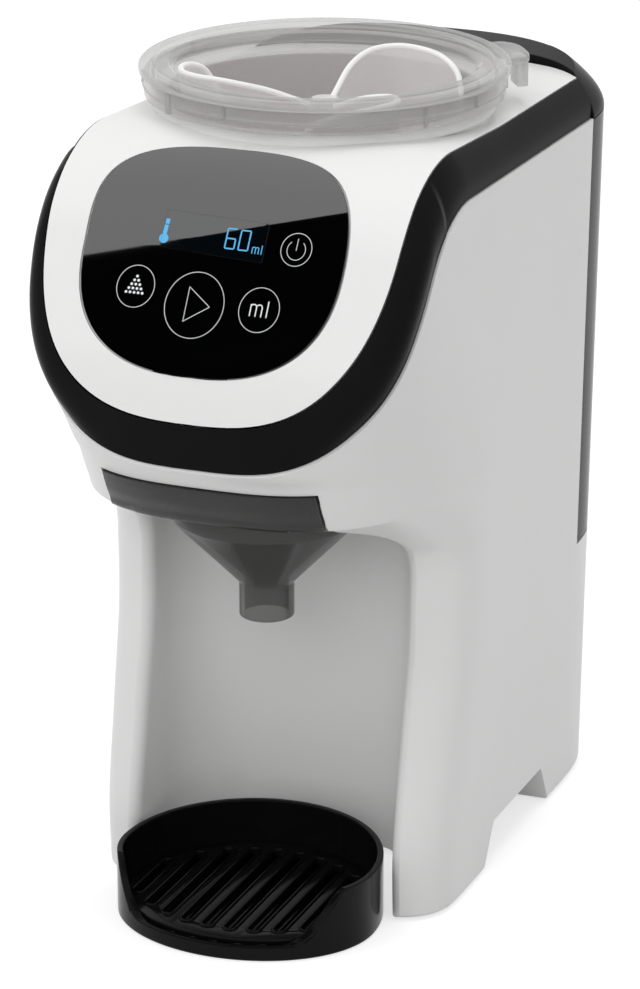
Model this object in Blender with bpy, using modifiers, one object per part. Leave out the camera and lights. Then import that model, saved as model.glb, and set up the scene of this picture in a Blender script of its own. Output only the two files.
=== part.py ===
"""Countertop baby formula maker with a powder container, a rear water tank,
a funnel drawer and a drip tray. Metres, +Z up, front towards -Y."""
import math

import bmesh
import bpy
from mathutils import Matrix, Vector

# Driving sizes of the whole machine
gap = 0.0003
overrun = 0.030
wall = 0.0028
half_width_foot = 0.0694
half_width_top = 0.0750
rear_y = 0.1320
foot_height = 0.0012
band_height = 0.2762
head_cut_y = -0.0716
head_cut_slope = math.radians(57.4)
head_cut_radius = 0.0427
top_height = 0.2945
face_cut_y = -0.0826
face_slope = math.radians(58.0)
face_radius = 0.0600
face_foot_y = -0.1320
face_foot_height = 0.2088
fall_slope = math.radians(1.3)
tank_front_y = 0.0880
tank_front_rise = 0.0120

# Plan of the body: rear round and front round
rear_reach = 0.0700
rear_power = 4.6
front_reach = 0.1265
# Rows of height, start and reach of the front round, and its power
section_shares = (
    (0.000, -0.237, 0.300, 4.2),
    (0.072, -0.241, 0.300, 4.2),
    (0.240, -0.178, 0.300, 4.2),
    (0.400, -0.113, 0.300, 4.2),
    (0.470, -0.108, 0.302, 4.2),
    (0.507, -0.094, 0.340, 4.1),
    (0.540, -0.080, 0.450, 3.9),
    (0.568, -0.040, 0.610, 3.6),
    (0.588, 0.030, 0.800, 3.3),
    (0.604, 0.095, 0.988, 3.0),
    (0.630, 0.066, 0.988, 3.0),
    (0.664, 0.028, 0.988, 3.0),
    (0.690, -0.010, 1.000, 3.0),
    (0.744, -0.096, 1.000, 3.0),
    (0.798, -0.220, 1.000, 3.0),
    (0.845, -0.322, 1.000, 3.0),
    (0.927, -0.415, 1.000, 3.0),
    (1.100, -0.440, 1.000, 3.0),
)
level_shares = (0.120, 0.240, 0.320, 0.400, 0.470, 0.507, 0.540, 0.568, 0.588, 0.604, 0.630, 0.664, 0.690,
                0.744, 0.798, 0.845, 0.927, 1.100)
cavity_shares = (0.240, 0.400, 0.470, 0.540, 0.604, 0.664, 0.744, 0.845, 1.100)
front_points = 20
rear_points = 12

# Bay between the two legs
bay_half = 0.0530
bay_height = 0.1572
bay_back_y = -0.0100
bay_back_radius = 0.0240
bay_top_radius = 0.0095

# Arch under the sides
arch_height = 0.0182
arch_front_y = -0.0017
arch_rear_y = 0.0535
arch_flare = 0.0105

# Face outline and the trim band around it
face_half = 0.0673
face_length = 0.0900
face_power = 2.8
face_thick = 0.0028
face_crown = 0.0034
band_wall = 0.0030
band_depth = 0.0050

# Powder container, its seat and what turns in it
container_y = -0.0007
container_radius = 0.0590
container_wall = 0.0020
container_floor = 0.2308
container_floor_thick = 0.0025
flange_radius = 0.0665
flange_height = 0.2978
flange_shelf = 0.0022
flange_wall = 0.0020
flange_top = 0.3063
seat_clearance = 0.0006
seat_wall = 0.0020
seat_floor_thick = 0.0025
lid_radius = 0.0684
lid_top = 0.30965
lid_plug_depth = 0.0050
lid_plug_clearance = 0.0005
lid_plug_wall = 0.0018
lid_window_radius = 0.0560
lid_window_drop = 0.0018
lid_plate = 0.0016
ear_reach = 0.0763
ear_start = math.radians(23.0)
ear_end = math.radians(46.5)
ear_post_height = 0.0080
ear_post_width = 0.0095
ear_post_depth = 0.0040
wheel_clearance = 0.0011
wheel_thick = 0.0060
wheel_pocket_radius = 0.0085
wheel_pocket_ring = 0.0400
wheel_pockets = 6
shaft_radius = 0.0050
shaft_clearance = 0.0004
shaft_depth = 0.0095
stirrer_hub_radius = 0.0085
stirrer_top_gap = 0.0060
stirrer_reach = 0.0520
stirrer_thick = 0.0018
stirrer_blades = 3
stirrer_blade_height = 0.0440
stirrer_sweep = math.radians(75.0)

# Gears and motor under the container
gear_module = 0.00225
gear_teeth = 24
pinion_teeth = 8
gear_thick = 0.0060
gear_drop = 0.0015
tooth_rise = 0.0015
tooth_root = 0.0021
tooth_share = 0.40
tooth_tip_share = 0.24
gear_plate_thick = 0.0030
gear_plate_half = 0.0320
gear_plate_front = 0.0300
gear_plate_rear = 0.0520
plate_post_radius = 0.0030
plate_post_inset = 0.0050
motor_radius = 0.0130
motor_length = 0.0400
motor_boss_radius = 0.0050
motor_boss_height = 0.0025
motor_shaft_radius = 0.0020
motor_shaft_clearance = 0.0002

# Chute and water nozzle over the funnel
chute_y = -0.0427
chute_radius = 0.0100
chute_bore = 0.0085
chute_end = 0.0020
nozzle_y = -0.0760
nozzle_radius = 0.0060
nozzle_bore = 0.0022
nozzle_collar = 0.0085
nozzle_collar_thick = 0.0020
nozzle_height = 0.0060

# Funnel drawer
drawer_half = 0.0410
drawer_bottom = 0.1667
drawer_top = 0.1830
drawer_thick = 0.0030
drawer_proud = 0.0012
drawer_clearance = 0.0006
drawer_ceiling = 0.1860
drawer_back_y = -0.0140
funnel_y = -0.0589
funnel_radius = 0.0362
funnel_wall = 0.0020
funnel_rim_height = 0.1800
funnel_cone_top = 0.1468
funnel_cone_bottom = 0.1240
spout_radius = 0.0102
spout_end = 0.1132
deck_thick = 0.0025
deck_side = 0.0004

# Drip tray and grate
tray_half = 0.0515
tray_mid_y = -0.0620
tray_front = 0.0560
tray_rear = 0.0330
tray_tongue_half = 0.0150
tray_tongue_height = 0.0060
tray_power = 2.5
tray_height = 0.0250
tray_front_height = 0.0070
tray_wall = 0.0024
tray_floor = 0.0022
tray_dip_start = 0.0310
tray_dip_end = 0.0490
grate_clearance = 0.0008
grate_thick = 0.0022
grate_stand = 0.0030
grate_stand_radius = 0.0025
grate_slots = 9
grate_slot_width = 0.0036
grate_rib_height = 0.0012
grate_margin = 0.0070

# Water tank with its lid and valve
shelf_height = 0.1000
tank_wall = 0.0024
tank_floor = 0.0026
lid_chamfer_in = 0.0085
lid_chamfer_rise = 0.0158
lid_dome = 0.0022
lid_skirt_depth = 0.0060
lid_skirt_clearance = 0.0007
lid_skirt_wall = 0.0018
lid_shell = 0.0026
valve_y = 0.1150
valve_hole = 0.0050
valve_stem = 0.0028
valve_disc = 0.0075
valve_disc_thick = 0.0015
valve_stem_up = 0.0160
spring_wire = 0.00045
spring_radius = 0.0045
spring_turns = 5
spring_points = 8
cage_radius = 0.0100
cage_wall = 0.0014
cage_height = 0.0150
cage_window = 0.0080
valve_travel = 0.0025
socket_radius = 0.0120
socket_bore = 0.0080
socket_depth = 0.0120
socket_flange = 0.0150
socket_flange_thick = 0.0020
nipple_radius = 0.0042
nipple_length = 0.0100
seal_wire = 0.0012

# Touch panel and display board
glass_half = 0.0489
glass_thick = 0.0014
glass_proud = 0.0003
glass_seat = 0.0004
glass_low = 0.0165
glass_mid = 0.0620
glass_high = 0.1075
glass_low_power = 2.4
glass_high_power = 3.4
board_half = 0.0330
board_length = 0.0460
board_thick = 0.0016
board_stand = 0.0060
board_post = 0.0022
board_post_gap = 0.0007
display_half = 0.0210
display_length = 0.0160
display_thick = 0.0040

# Water path and electrics
pump_x = 0.0360
pump_y = 0.0380
pump_half = 0.0170
pump_height = 0.0280
pump_base = 0.0030
pump_motor_radius = 0.0130
pump_motor_length = 0.0400
pump_port = 0.0042
pump_port_length = 0.0070
heater_x = -0.0380
heater_y = 0.0400
heater_radius = 0.0160
heater_base = 0.0500
heater_length = 0.0900
heater_cap = 0.0040
heater_port = 0.0042
heater_port_length = 0.0080
bracket_width = 0.0260
bracket_thick = 0.0030
hose_radius = 0.0036
power_board_half_x = 0.0330
power_board_y = 0.0950
power_board_half_y = 0.0200
power_post = 0.0060
transformer_half = 0.0130
transformer_height = 0.0240
control_half = 0.0260
control_low = 0.1400
control_high = 0.2050
control_stand = 0.0060
inlet_half = 0.0150
inlet_height = 0.0200
inlet_depth = 0.0140
inlet_flange = 0.0025
inlet_z = 0.0500
inlet_pin_hole = 0.0040

# Feet, hatch and screws
foot_pad_radius = 0.0040
foot_pad_plug = 0.0024
foot_pad_plug_height = 0.0020
foot_inset = 0.0082
front_foot_y = -0.0420
rear_foot_y = 0.0950
floor_wall = 0.0030
hatch_half_x = 0.0350
hatch_half_y = 0.0200
hatch_thick = 0.0020
hatch_lip = 0.0040
screw_head_radius = 0.0030
screw_head = 0.0016
screw_shank = 0.0014
screw_length = 0.0040

# Values worked out from the sizes above
head_z_tan = math.tan(head_cut_slope)
face_z_tan = math.tan(face_slope)
fall = math.tan(fall_slope)
seat_radius = container_radius + seat_clearance + seat_wall
seat_floor = container_floor - gap - seat_floor_thick
gear_radius = gear_module * gear_teeth / 2
pinion_radius = gear_module * pinion_teeth / 2
gear_top = seat_floor - gear_drop
gear_bottom = gear_top - gear_thick
plate_top = gear_bottom - gap
plate_bottom = plate_top - gear_plate_thick
motor_y = container_y + gear_radius + pinion_radius
motor_top = plate_bottom - gap
floor_top = foot_height + floor_wall
arch_floor = arch_height + floor_wall
tank_base = shelf_height + gap
slot_half = drawer_half + drawer_clearance
ledge_half = funnel_radius + drawer_clearance
deck_low = funnel_rim_height - deck_thick - gap
lid_base = band_height - fall * (tank_front_y - head_cut_y) + gap
tank_top = lid_base - gap

palette = {
    "white_shell": ((0.86, 0.86, 0.86, 1.0), 0.25, 0.0, 0.0),
    "black_trim": ((0.012, 0.012, 0.013, 1.0), 0.18, 0.0, 0.0),
    "panel_glass": ((0.004, 0.004, 0.005, 1.0), 0.05, 0.0, 0.0),
    "clear_plastic": ((0.86, 0.88, 0.88, 0.35), 0.08, 0.0, 0.9),
    "smoked_plastic": ((0.06, 0.06, 0.058, 0.6), 0.10, 0.0, 0.6),
    "coral_plastic": ((0.85, 0.30, 0.22, 1.0), 0.35, 0.0, 0.0),
    "frosted_plastic": ((0.82, 0.83, 0.83, 0.6), 0.30, 0.0, 0.5),
    "black_plastic": ((0.010, 0.010, 0.010, 1.0), 0.32, 0.0, 0.0),
    "rubber": ((0.02, 0.02, 0.02, 1.0), 0.80, 0.0, 0.0),
    "hose_silicone": ((0.80, 0.80, 0.78, 0.7), 0.45, 0.0, 0.3),
    "steel": ((0.62, 0.62, 0.64, 1.0), 0.28, 1.0, 0.0),
    "aluminium": ((0.70, 0.71, 0.72, 1.0), 0.40, 1.0, 0.0),
    "board_green": ((0.02, 0.16, 0.06, 1.0), 0.50, 0.0, 0.0),
    "nylon": ((0.78, 0.77, 0.72, 1.0), 0.40, 0.0, 0.0),
}


def clear_scene():
    for item in list(bpy.data.objects):
        bpy.data.objects.remove(item, do_unlink=True)


def make_collection(name):
    collection = bpy.data.collections.new(name)
    bpy.context.scene.collection.children.link(collection)
    return collection


def make_material(name):
    colour, rough, metallic, transmission = palette[name]
    material = bpy.data.materials.get(name)
    if material is None:
        material = bpy.data.materials.new(name)
        material.use_nodes = True
        shader = material.node_tree.nodes["Principled BSDF"]
        shader.inputs["Base Color"].default_value = (colour[0], colour[1], colour[2], 1.0)
        shader.inputs["Roughness"].default_value = rough
        shader.inputs["Metallic"].default_value = metallic
        shader.inputs["Transmission Weight"].default_value = transmission
        shader.inputs["Alpha"].default_value = colour[3]
        material.diffuse_color = colour
    return material


clear_scene()
parts = make_collection("formula_maker")
cutters = make_collection("cutters")


def keep(item, name, material_name, parent=None):
    """Name a part, give it its material and put it in the parts collection."""
    item.name = name
    item.data.name = name
    for owner in list(item.users_collection):
        owner.objects.unlink(item)
    parts.objects.link(item)
    item.data.materials.clear()
    item.data.materials.append(make_material(material_name))
    if parent is not None:
        item.parent = parent
        item.matrix_parent_inverse = parent.matrix_world.inverted()
    return item


def keep_cutter(item, name):
    item.name = name
    for owner in list(item.users_collection):
        owner.objects.unlink(item)
    cutters.objects.link(item)
    item.hide_render = True
    item.display_type = "WIRE"
    return item


def pivot(name, place):
    """An empty on a joint's axis."""
    empty = bpy.data.objects.new(name, None)
    empty.empty_display_size = wall
    empty.location = place
    parts.objects.link(empty)
    bpy.context.view_layer.update()
    return empty


def object_from_bmesh(mesh_data, name):
    bmesh.ops.recalc_face_normals(mesh_data, faces=mesh_data.faces[:])
    mesh = bpy.data.meshes.new(name)
    mesh_data.to_mesh(mesh)
    mesh_data.free()
    item = bpy.data.objects.new(name, mesh)
    bpy.context.scene.collection.objects.link(item)
    return item


def smooth(item, angle=math.radians(32.0)):
    item.data.shade_smooth()
    item.data.set_sharp_from_angle(angle=angle)
    return item


def box(name, low, high):
    """A block between two corners, from a primitive cube."""
    data = bmesh.new()
    bmesh.ops.create_cube(data, size=1.0)
    low, high = Vector(low), Vector(high)
    size, middle = high - low, (high + low) / 2
    for vert in data.verts:
        vert.co = Vector((vert.co.x * size.x, vert.co.y * size.y, vert.co.z * size.z)) + middle
    return object_from_bmesh(data, name)


def rod(name, radius, low, high, place=(0.0, 0.0), segments=24):
    """An upright cylinder from a primitive."""
    data = bmesh.new()
    bmesh.ops.create_cone(data, cap_ends=True, segments=segments, radius1=radius, radius2=radius, depth=high - low)
    for vert in data.verts:
        vert.co += Vector((place[0], place[1], (high + low) / 2))
    return smooth(object_from_bmesh(data, name))


def turned(name, profile, place=(0.0, 0.0), steps=40, closed=True):
    """A profile of radius and height turned round an upright axis with Screw."""
    mesh = bpy.data.meshes.new(name)
    count = len(profile)
    edges = [(i, i + 1) for i in range(count - 1)]
    if closed:
        edges.append((count - 1, 0))
    mesh.from_pydata([(radius, 0.0, height) for radius, height in profile], edges, [])
    item = bpy.data.objects.new(name, mesh)
    bpy.context.scene.collection.objects.link(item)
    item.location = (place[0], place[1], 0.0)
    screw = item.modifiers.new("turn", "SCREW")
    screw.axis = "Z"
    screw.angle = math.radians(360.0)
    screw.steps = steps
    screw.render_steps = steps
    screw.use_merge_vertices = True
    screw.merge_threshold = 0.00001
    screw.use_smooth_shade = True
    return item


def prism(name, outline, low, high, axis="Z"):
    """A flat outline, as a filled 2D curve with an extrude, made a mesh."""
    curve = bpy.data.curves.new(name, "CURVE")
    curve.dimensions = "2D"
    curve.fill_mode = "BOTH"
    curve.extrude = (high - low) / 2
    spline = curve.splines.new("POLY")
    spline.points.add(len(outline) - 1)
    for point, (first, second) in zip(spline.points, outline):
        point.co = (first, second, 0.0, 1.0)
    spline.use_cyclic_u = True
    item = bpy.data.objects.new(name, curve)
    bpy.context.scene.collection.objects.link(item)
    middle = (high + low) / 2
    if axis == "Z":
        item.matrix_world = Matrix.Translation((0.0, 0.0, middle))
    elif axis == "X":
        turn = Matrix(((0.0, 0.0, 1.0, 0.0), (1.0, 0.0, 0.0, 0.0), (0.0, 1.0, 0.0, 0.0), (0.0, 0.0, 0.0, 1.0)))
        item.matrix_world = Matrix.Translation((middle, 0.0, 0.0)) @ turn
    else:
        turn = Matrix(((1.0, 0.0, 0.0, 0.0), (0.0, 0.0, -1.0, 0.0), (0.0, 1.0, 0.0, 0.0), (0.0, 0.0, 0.0, 1.0)))
        item.matrix_world = Matrix.Translation((0.0, middle, 0.0)) @ turn
    return mesh_of(item)


def mesh_of(item):
    """The evaluated mesh of a curve object as a new mesh object, in world space."""
    bpy.context.view_layer.update()
    graph = bpy.context.evaluated_depsgraph_get()
    mesh = bpy.data.meshes.new_from_object(item.evaluated_get(graph))
    data = bmesh.new()
    data.from_mesh(mesh)
    data.transform(item.matrix_world)
    bmesh.ops.remove_doubles(data, verts=data.verts[:], dist=0.00001)
    name = item.name
    bpy.data.objects.remove(item, do_unlink=True)
    return object_from_bmesh(data, name)


def tube(name, points, radius, resolution=2):
    """A hose or wire along points read from a smooth curve through them."""
    curve = bpy.data.curves.new(name, "CURVE")
    curve.dimensions = "3D"
    curve.bevel_depth = radius
    curve.bevel_resolution = resolution
    curve.use_fill_caps = True
    spline = curve.splines.new("POLY")
    spline.points.add(len(points) - 1)
    for point, place in zip(spline.points, points):
        point.co = (place[0], place[1], place[2], 1.0)
    item = bpy.data.objects.new(name, curve)
    bpy.context.scene.collection.objects.link(item)
    return mesh_of(item)


def curve_points(route, count):
    """Points at even steps on a Catmull-Rom curve through a route."""
    ends = [Vector(route[0]) * 2 - Vector(route[1])] + [Vector(p) for p in route]
    ends.append(Vector(route[-1]) * 2 - Vector(route[-2]))
    fine = []
    for i in range(1, len(ends) - 2):
        for k in range(24):
            t = k / 24
            a, b, c, d = ends[i - 1:i + 3]
            fine.append(0.5 * (2 * b + (c - a) * t + (2 * a - 5 * b + 4 * c - d) * t ** 2
                               + (3 * b - a - 3 * c + d) * t ** 3))
    fine.append(Vector(route[-1]))
    lengths = [0.0]
    for first, second in zip(fine, fine[1:]):
        lengths.append(lengths[-1] + (second - first).length)
    result, j = [], 0
    for i in range(count):
        target = lengths[-1] * i / (count - 1)
        while j < len(lengths) - 2 and lengths[j + 1] < target:
            j += 1
        t = (target - lengths[j]) / (lengths[j + 1] - lengths[j])
        result.append(fine[j].lerp(fine[j + 1], t))
    return result


def modify(item, other, operation="DIFFERENCE"):
    """Add a Boolean with another object."""
    boolean = item.modifiers.new(operation.lower(), "BOOLEAN")
    boolean.operation = operation
    boolean.solver = "EXACT"
    boolean.object = other
    return item


def cut(item, other, name):
    keep_cutter(other, name)
    return modify(item, other)


def join(item, other, name):
    keep_cutter(other, name)
    return modify(item, other, "UNION")


def loft(name, rings, closed=True):
    """A skin through rings of points, with flat ends: sections here are unlike."""
    data = bmesh.new()
    rows = [[data.verts.new(p) for p in ring] for ring in rings]
    count = len(rows[0])
    for lower, upper in zip(rows, rows[1:]):
        for i in range(count if closed else count - 1):
            j = (i + 1) % count
            data.faces.new((lower[i], lower[j], upper[j], upper[i]))
    if closed:
        data.faces.new(rows[0][::-1])
        data.faces.new(rows[-1])
    return object_from_bmesh(data, name)


def mix(first, second, share):
    return first + (second - first) * share


def section(height):
    """Start, reach and power of the front round at a height, by smooth steps."""
    share = height / band_height
    rows = section_shares
    if share <= rows[0][0]:
        row = rows[0][1:]
    elif share >= rows[-1][0]:
        row = rows[-1][1:]
    else:
        i = max(k for k in range(len(rows) - 1) if rows[k][0] <= share)
        t = (share - rows[i][0]) / (rows[i + 1][0] - rows[i][0])
        row = [mix(a, b, t) for a, b in zip(rows[i][1:], rows[i + 1][1:])]
    return row[0] * front_reach, row[1] * front_reach, row[2]


def half_at(height):
    return mix(half_width_foot, half_width_top, min(height / band_height, 1.0))


def power_curve(share, power):
    return max(0.0, 1.0 - min(abs(share), 1.0) ** power) ** (1.0 / power)


def skin_x(y, height):
    """Half width of the outer skin at a depth and height."""
    half = half_at(height)
    start, reach, power = section(height)
    rear_start = rear_y - rear_reach
    if y < start:
        return half * power_curve((start - y) / reach, power)
    if y > rear_start:
        return half * power_curve((y - rear_start) / rear_reach, rear_power)
    return half


def skin_y(x, height):
    """Depth of the outer skin's front at a half width and height."""
    start, reach, power = section(height)
    return start - reach * power_curve(x / half_at(height), power)


def rear_skin_y(x, height, inset=0.0):
    return rear_y - rear_reach + (rear_reach - inset) * power_curve(x / (half_at(height) - inset), rear_power)


def plan_ring(height, inset=0.0, front_count=front_points, rear_count=rear_points):
    """The closed plan outline of the body at a height."""
    half = half_at(height) - inset
    start, reach, power = section(height - inset)
    reach = reach - inset
    rear_start = rear_y - rear_reach
    z = height
    ring = []
    for i in range(front_count + 1):
        angle = math.pi * i / front_count
        c, s = math.cos(angle), math.sin(angle)
        x = half * math.copysign(abs(c) ** (2.0 / power), c)
        ring.append(Vector((x, start - reach * abs(s) ** (2.0 / power), z)))
    for k in (1, 2):
        ring.append(Vector((-half, mix(start, rear_start, k / 3), z)))
    for i in range(rear_count + 1):
        angle = math.pi * i / rear_count
        c, s = math.cos(angle), math.sin(angle)
        x = -half * math.copysign(abs(c) ** (2.0 / rear_power), c)
        ring.append(Vector((x, rear_start + (rear_reach - inset) * abs(s) ** (2.0 / rear_power), z)))
    for k in (2, 1):
        ring.append(Vector((half, mix(start, rear_start, k / 3), z)))
    return ring


def rounded_profile(y, corner_y, corner_height, slope, radius, drop):
    """Height of a slanted line that a round turns into the falling top line."""
    reach = radius * math.tan(slope / 2)
    start_y = corner_y - reach * math.cos(slope)
    end_y = corner_y + reach
    if y <= start_y:
        return corner_height - (corner_y - y) * math.tan(slope)
    if y < end_y:
        return corner_height - radius + math.sqrt(radius ** 2 - (end_y - y) ** 2)
    return corner_height - drop * (y - end_y)


def head_cut(y):
    """Height of the lower edge of the trim band."""
    return rounded_profile(y, head_cut_y, band_height, head_cut_slope, head_cut_radius, fall)


def face_line(y):
    """Height of the face and top along the middle."""
    return rounded_profile(y, face_cut_y, top_height, face_slope, face_radius, fall)


def tank_arc(x, offset=0.0):
    """Depth of the tank's curved front."""
    return tank_front_y + tank_front_rise * (1.0 - (x / half_width_top) ** 2) + offset


def bay_cutter(grow, low):
    """The space between the legs, with a rounded back and top."""
    half, back, high = bay_half + grow, bay_back_y + grow, bay_height + grow
    data = bmesh.new()
    bmesh.ops.create_cube(data, size=1.0)
    front = -front_reach - overrun
    for vert in data.verts:
        vert.co = Vector((vert.co.x * 2 * half, mix(front, back, vert.co.y + 0.5), mix(low, high, vert.co.z + 0.5)))
    back_edges = [e for e in data.edges if all(abs(v.co.y - back) < gap for v in e.verts)
                  and abs(e.verts[0].co.z - e.verts[1].co.z) > gap]
    bmesh.ops.bevel(data, geom=back_edges, offset=bay_back_radius + grow, segments=6, profile=0.5, affect="EDGES")
    top_edges = [e for e in data.edges if all(abs(v.co.z - high) < gap for v in e.verts)
                 and not all(abs(v.co.y - front) < gap for v in e.verts)]
    bmesh.ops.bevel(data, geom=top_edges, offset=bay_top_radius + grow, segments=4, profile=0.5, affect="EDGES")
    return object_from_bmesh(data, "bay")


def arch_outline(grow):
    """The arch seen from the side."""
    low = -overrun
    run = arch_flare * (arch_height + overrun) / arch_height
    return [(arch_front_y - grow - run, low), (arch_rear_y + grow + run, low),
            (arch_rear_y + grow, arch_height + grow), (arch_front_y - grow, arch_height + grow)]


def tank_zone(offset, low, high):
    """Everything behind the tank's curved front, above a height."""
    half = half_width_top + overrun
    count = 12
    outline = [(mix(-half, half, i / count), tank_arc(mix(-half, half, i / count), offset)) for i in range(count + 1)]
    outline += [(half, rear_y + overrun), (-half, rear_y + overrun)]
    return prism("tank_zone", outline, low, high)


def above_line(line, offset, front, back, name):
    """Everything above a side profile."""
    count = 64
    points = [(mix(front, back, i / count), line(mix(front, back, i / count)) + offset) for i in range(count + 1)]
    points += [(back, top_height + 3 * overrun), (front, top_height + 3 * overrun)]
    half = half_width_top + overrun
    return prism(name, points, -half, half, "X")


def front_plate(name, half, low, high, front, back):
    """A plate that follows the chin's curve between two offsets from it."""
    columns, rows = 10, 3
    data = bmesh.new()
    layers = []
    for offset in (front, back):
        grid = []
        for k in range(rows + 1):
            height = mix(low, high, k / rows)
            xs = [mix(-half, half, i / columns) for i in range(columns + 1)]
            grid.append([data.verts.new((x, skin_y(x, height) + offset, height)) for x in xs])
        layers.append(grid)
    outer, inner_side = layers
    for k in range(rows):
        for i in range(columns):
            data.faces.new((outer[k][i], outer[k][i + 1], outer[k + 1][i + 1], outer[k + 1][i]))
            data.faces.new((inner_side[k][i + 1], inner_side[k][i], inner_side[k + 1][i], inner_side[k + 1][i + 1]))
        data.faces.new((outer[k + 1][0], inner_side[k + 1][0], inner_side[k][0], outer[k][0]))
        data.faces.new((outer[k][columns], inner_side[k][columns], inner_side[k + 1][columns], outer[k + 1][columns]))
    for i in range(columns):
        data.faces.new((outer[0][i + 1], outer[0][i], inner_side[0][i], inner_side[0][i + 1]))
        data.faces.new((outer[rows][i], outer[rows][i + 1], inner_side[rows][i + 1], inner_side[rows][i]))
    return object_from_bmesh(data, name)


# Main shell: one moulding with the legs, the bay, the drawer slot and the tank's dock
levels = [foot_height] + [share * band_height for share in level_shares]
shell = loft("main_shell", [plan_ring(z) for z in levels])
keep(smooth(shell), "main_shell", "white_shell")

cavity_levels = [floor_top] + [share * band_height for share in cavity_shares]
cavity = loft("cavity", [plan_ring(z, wall, 12, 8) for z in cavity_levels])
cavity_top = cavity.data
for vert in cavity_top.vertices:
    if vert.co.z > band_height:
        vert.co.z = top_height + overrun
keep_cutter(cavity, "cavity")
cut(cavity, bay_cutter(wall, -overrun), "bay_outside")
cut(cavity, prism("arch_outside", arch_outline(floor_wall), -half_width_top - overrun, half_width_top + overrun, "X"),
    "arch_outside")
cut(cavity, tank_zone(-wall, shelf_height - wall, top_height + 2 * overrun), "dock_outside")
cut(cavity, box("slot_outside", (-slot_half - wall, -front_reach - overrun, bay_height - overrun),
                (slot_half + wall, drawer_back_y + wall, drawer_ceiling + wall)), "slot_outside")

modify(shell, cavity)
cut(shell, bay_cutter(0.0, -overrun), "bay_space")
cut(shell, prism("arch_space", arch_outline(0.0), -half_width_top - overrun, half_width_top + overrun, "X"),
    "arch_space")
cut(shell, tank_zone(0.0, shelf_height, top_height + 2 * overrun), "dock_space")
cut(shell, box("slot_space", (-slot_half, -front_reach - overrun, deck_low - gap),
               (slot_half, drawer_back_y, drawer_ceiling)), "slot_space")
cut(shell, box("ledge_space", (-ledge_half, -front_reach - overrun, bay_height - overrun),
               (ledge_half, drawer_back_y, deck_low)), "ledge_space")
cut(shell, front_plate("front_space", drawer_half + drawer_clearance, drawer_bottom - drawer_clearance,
                       drawer_top + drawer_clearance, -overrun, drawer_thick - drawer_proud + drawer_clearance),
    "front_space")
cut(shell, above_line(head_cut, 0.0, -front_reach - 2 * overrun, rear_y + overrun, "head_cut"), "head_space")

# Holes in the shell for the chute, nozzle, tank socket, inlet, hatch and feet
cut(shell, rod("chute_hole", chute_radius + gap, drawer_ceiling - wall, drawer_ceiling + 2 * wall,
               (0.0, chute_y)), "chute_hole")
cut(shell, rod("nozzle_hole", nozzle_radius + gap, drawer_ceiling - wall, drawer_ceiling + 2 * wall,
               (0.0, nozzle_y)), "nozzle_hole")
cut(shell, rod("socket_hole", socket_radius + gap, shelf_height - 2 * wall, shelf_height + wall,
               (0.0, valve_y)), "socket_hole")
cut(shell, rod("socket_recess", socket_flange + gap, shelf_height - wall / 2, shelf_height + wall,
               (0.0, valve_y)), "socket_recess")
rear_wall_y = rear_skin_y(0.0, inlet_z)
cut(shell, box("inlet_hole", (-inlet_half - gap, rear_wall_y - overrun, inlet_z - inlet_height / 2 - gap),
               (inlet_half + gap, rear_wall_y + overrun, inlet_z + inlet_height / 2 + gap)), "inlet_hole")
hatch_mid_y = (arch_front_y + arch_rear_y) / 2
cut(shell, box("hatch_hole", (-hatch_half_x + hatch_lip, hatch_mid_y - hatch_half_y + hatch_lip, arch_height - wall),
               (hatch_half_x - hatch_lip, hatch_mid_y + hatch_half_y - hatch_lip, arch_floor + wall)), "hatch_hole")
foot_places = []
for side in (-1, 1):
    for y in (front_foot_y, rear_foot_y):
        foot_places.append((side * (half_width_foot - foot_inset), y))
for number, place in enumerate(foot_places):
    cut(shell, rod("foot_hole", foot_pad_plug + gap, foot_height - floor_wall, foot_height + foot_pad_plug_height
                   + gap, place, 16), f"foot_hole_{number}")

# Rubber feet with a plug in the floor
for number, (x, y) in enumerate(foot_places):
    profile = [(0.0, foot_height + foot_pad_plug_height), (foot_pad_plug, foot_height + foot_pad_plug_height),
               (foot_pad_plug, foot_height - gap), (foot_pad_radius, foot_height - gap),
               (foot_pad_radius, 0.0), (0.0, 0.0)]
    keep(turned("foot", profile, (x, y), 12, False), f"foot_{number}", "rubber")

# Service hatch in the arch's roof, with four screws
hatch = box("hatch", (-hatch_half_x, hatch_mid_y - hatch_half_y, arch_height - gap - hatch_thick),
            (hatch_half_x, hatch_mid_y + hatch_half_y, arch_height - gap))
keep(hatch, "service_hatch", "white_shell")
screw_places = [(sx * (hatch_half_x - hatch_lip / 2), hatch_mid_y + sy * (hatch_half_y - hatch_lip / 2))
                for sx in (-1, 1) for sy in (-1, 1)]
for number, place in enumerate(screw_places):
    cut(hatch, rod("hatch_screw_hole", screw_shank + gap, arch_height - overrun, arch_height + gap / 2, place, 8),
        f"hatch_screw_hole_{number}")
    cut(shell, rod("shell_screw_hole", screw_shank + gap, arch_height - wall, arch_height + screw_length - gap,
                   place, 8), f"shell_screw_hole_{number}")
    head_low = arch_height - gap - hatch_thick - gap - screw_head
    top = arch_height + screw_length - hatch_thick
    profile = [(0.0, top), (screw_shank, top), (screw_shank, head_low + screw_head), (screw_head_radius,
               head_low + screw_head), (screw_head_radius, head_low), (0.0, head_low)]
    keep(turned("screw", profile, place, 8, False), f"hatch_screw_{number}", "steel")

# Trim band: it runs from the tank along the top's sides and round the face
band_end_y = tank_front_y - gap
band_straight_y = face_cut_y + face_radius * math.tan(face_slope / 2)


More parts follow.
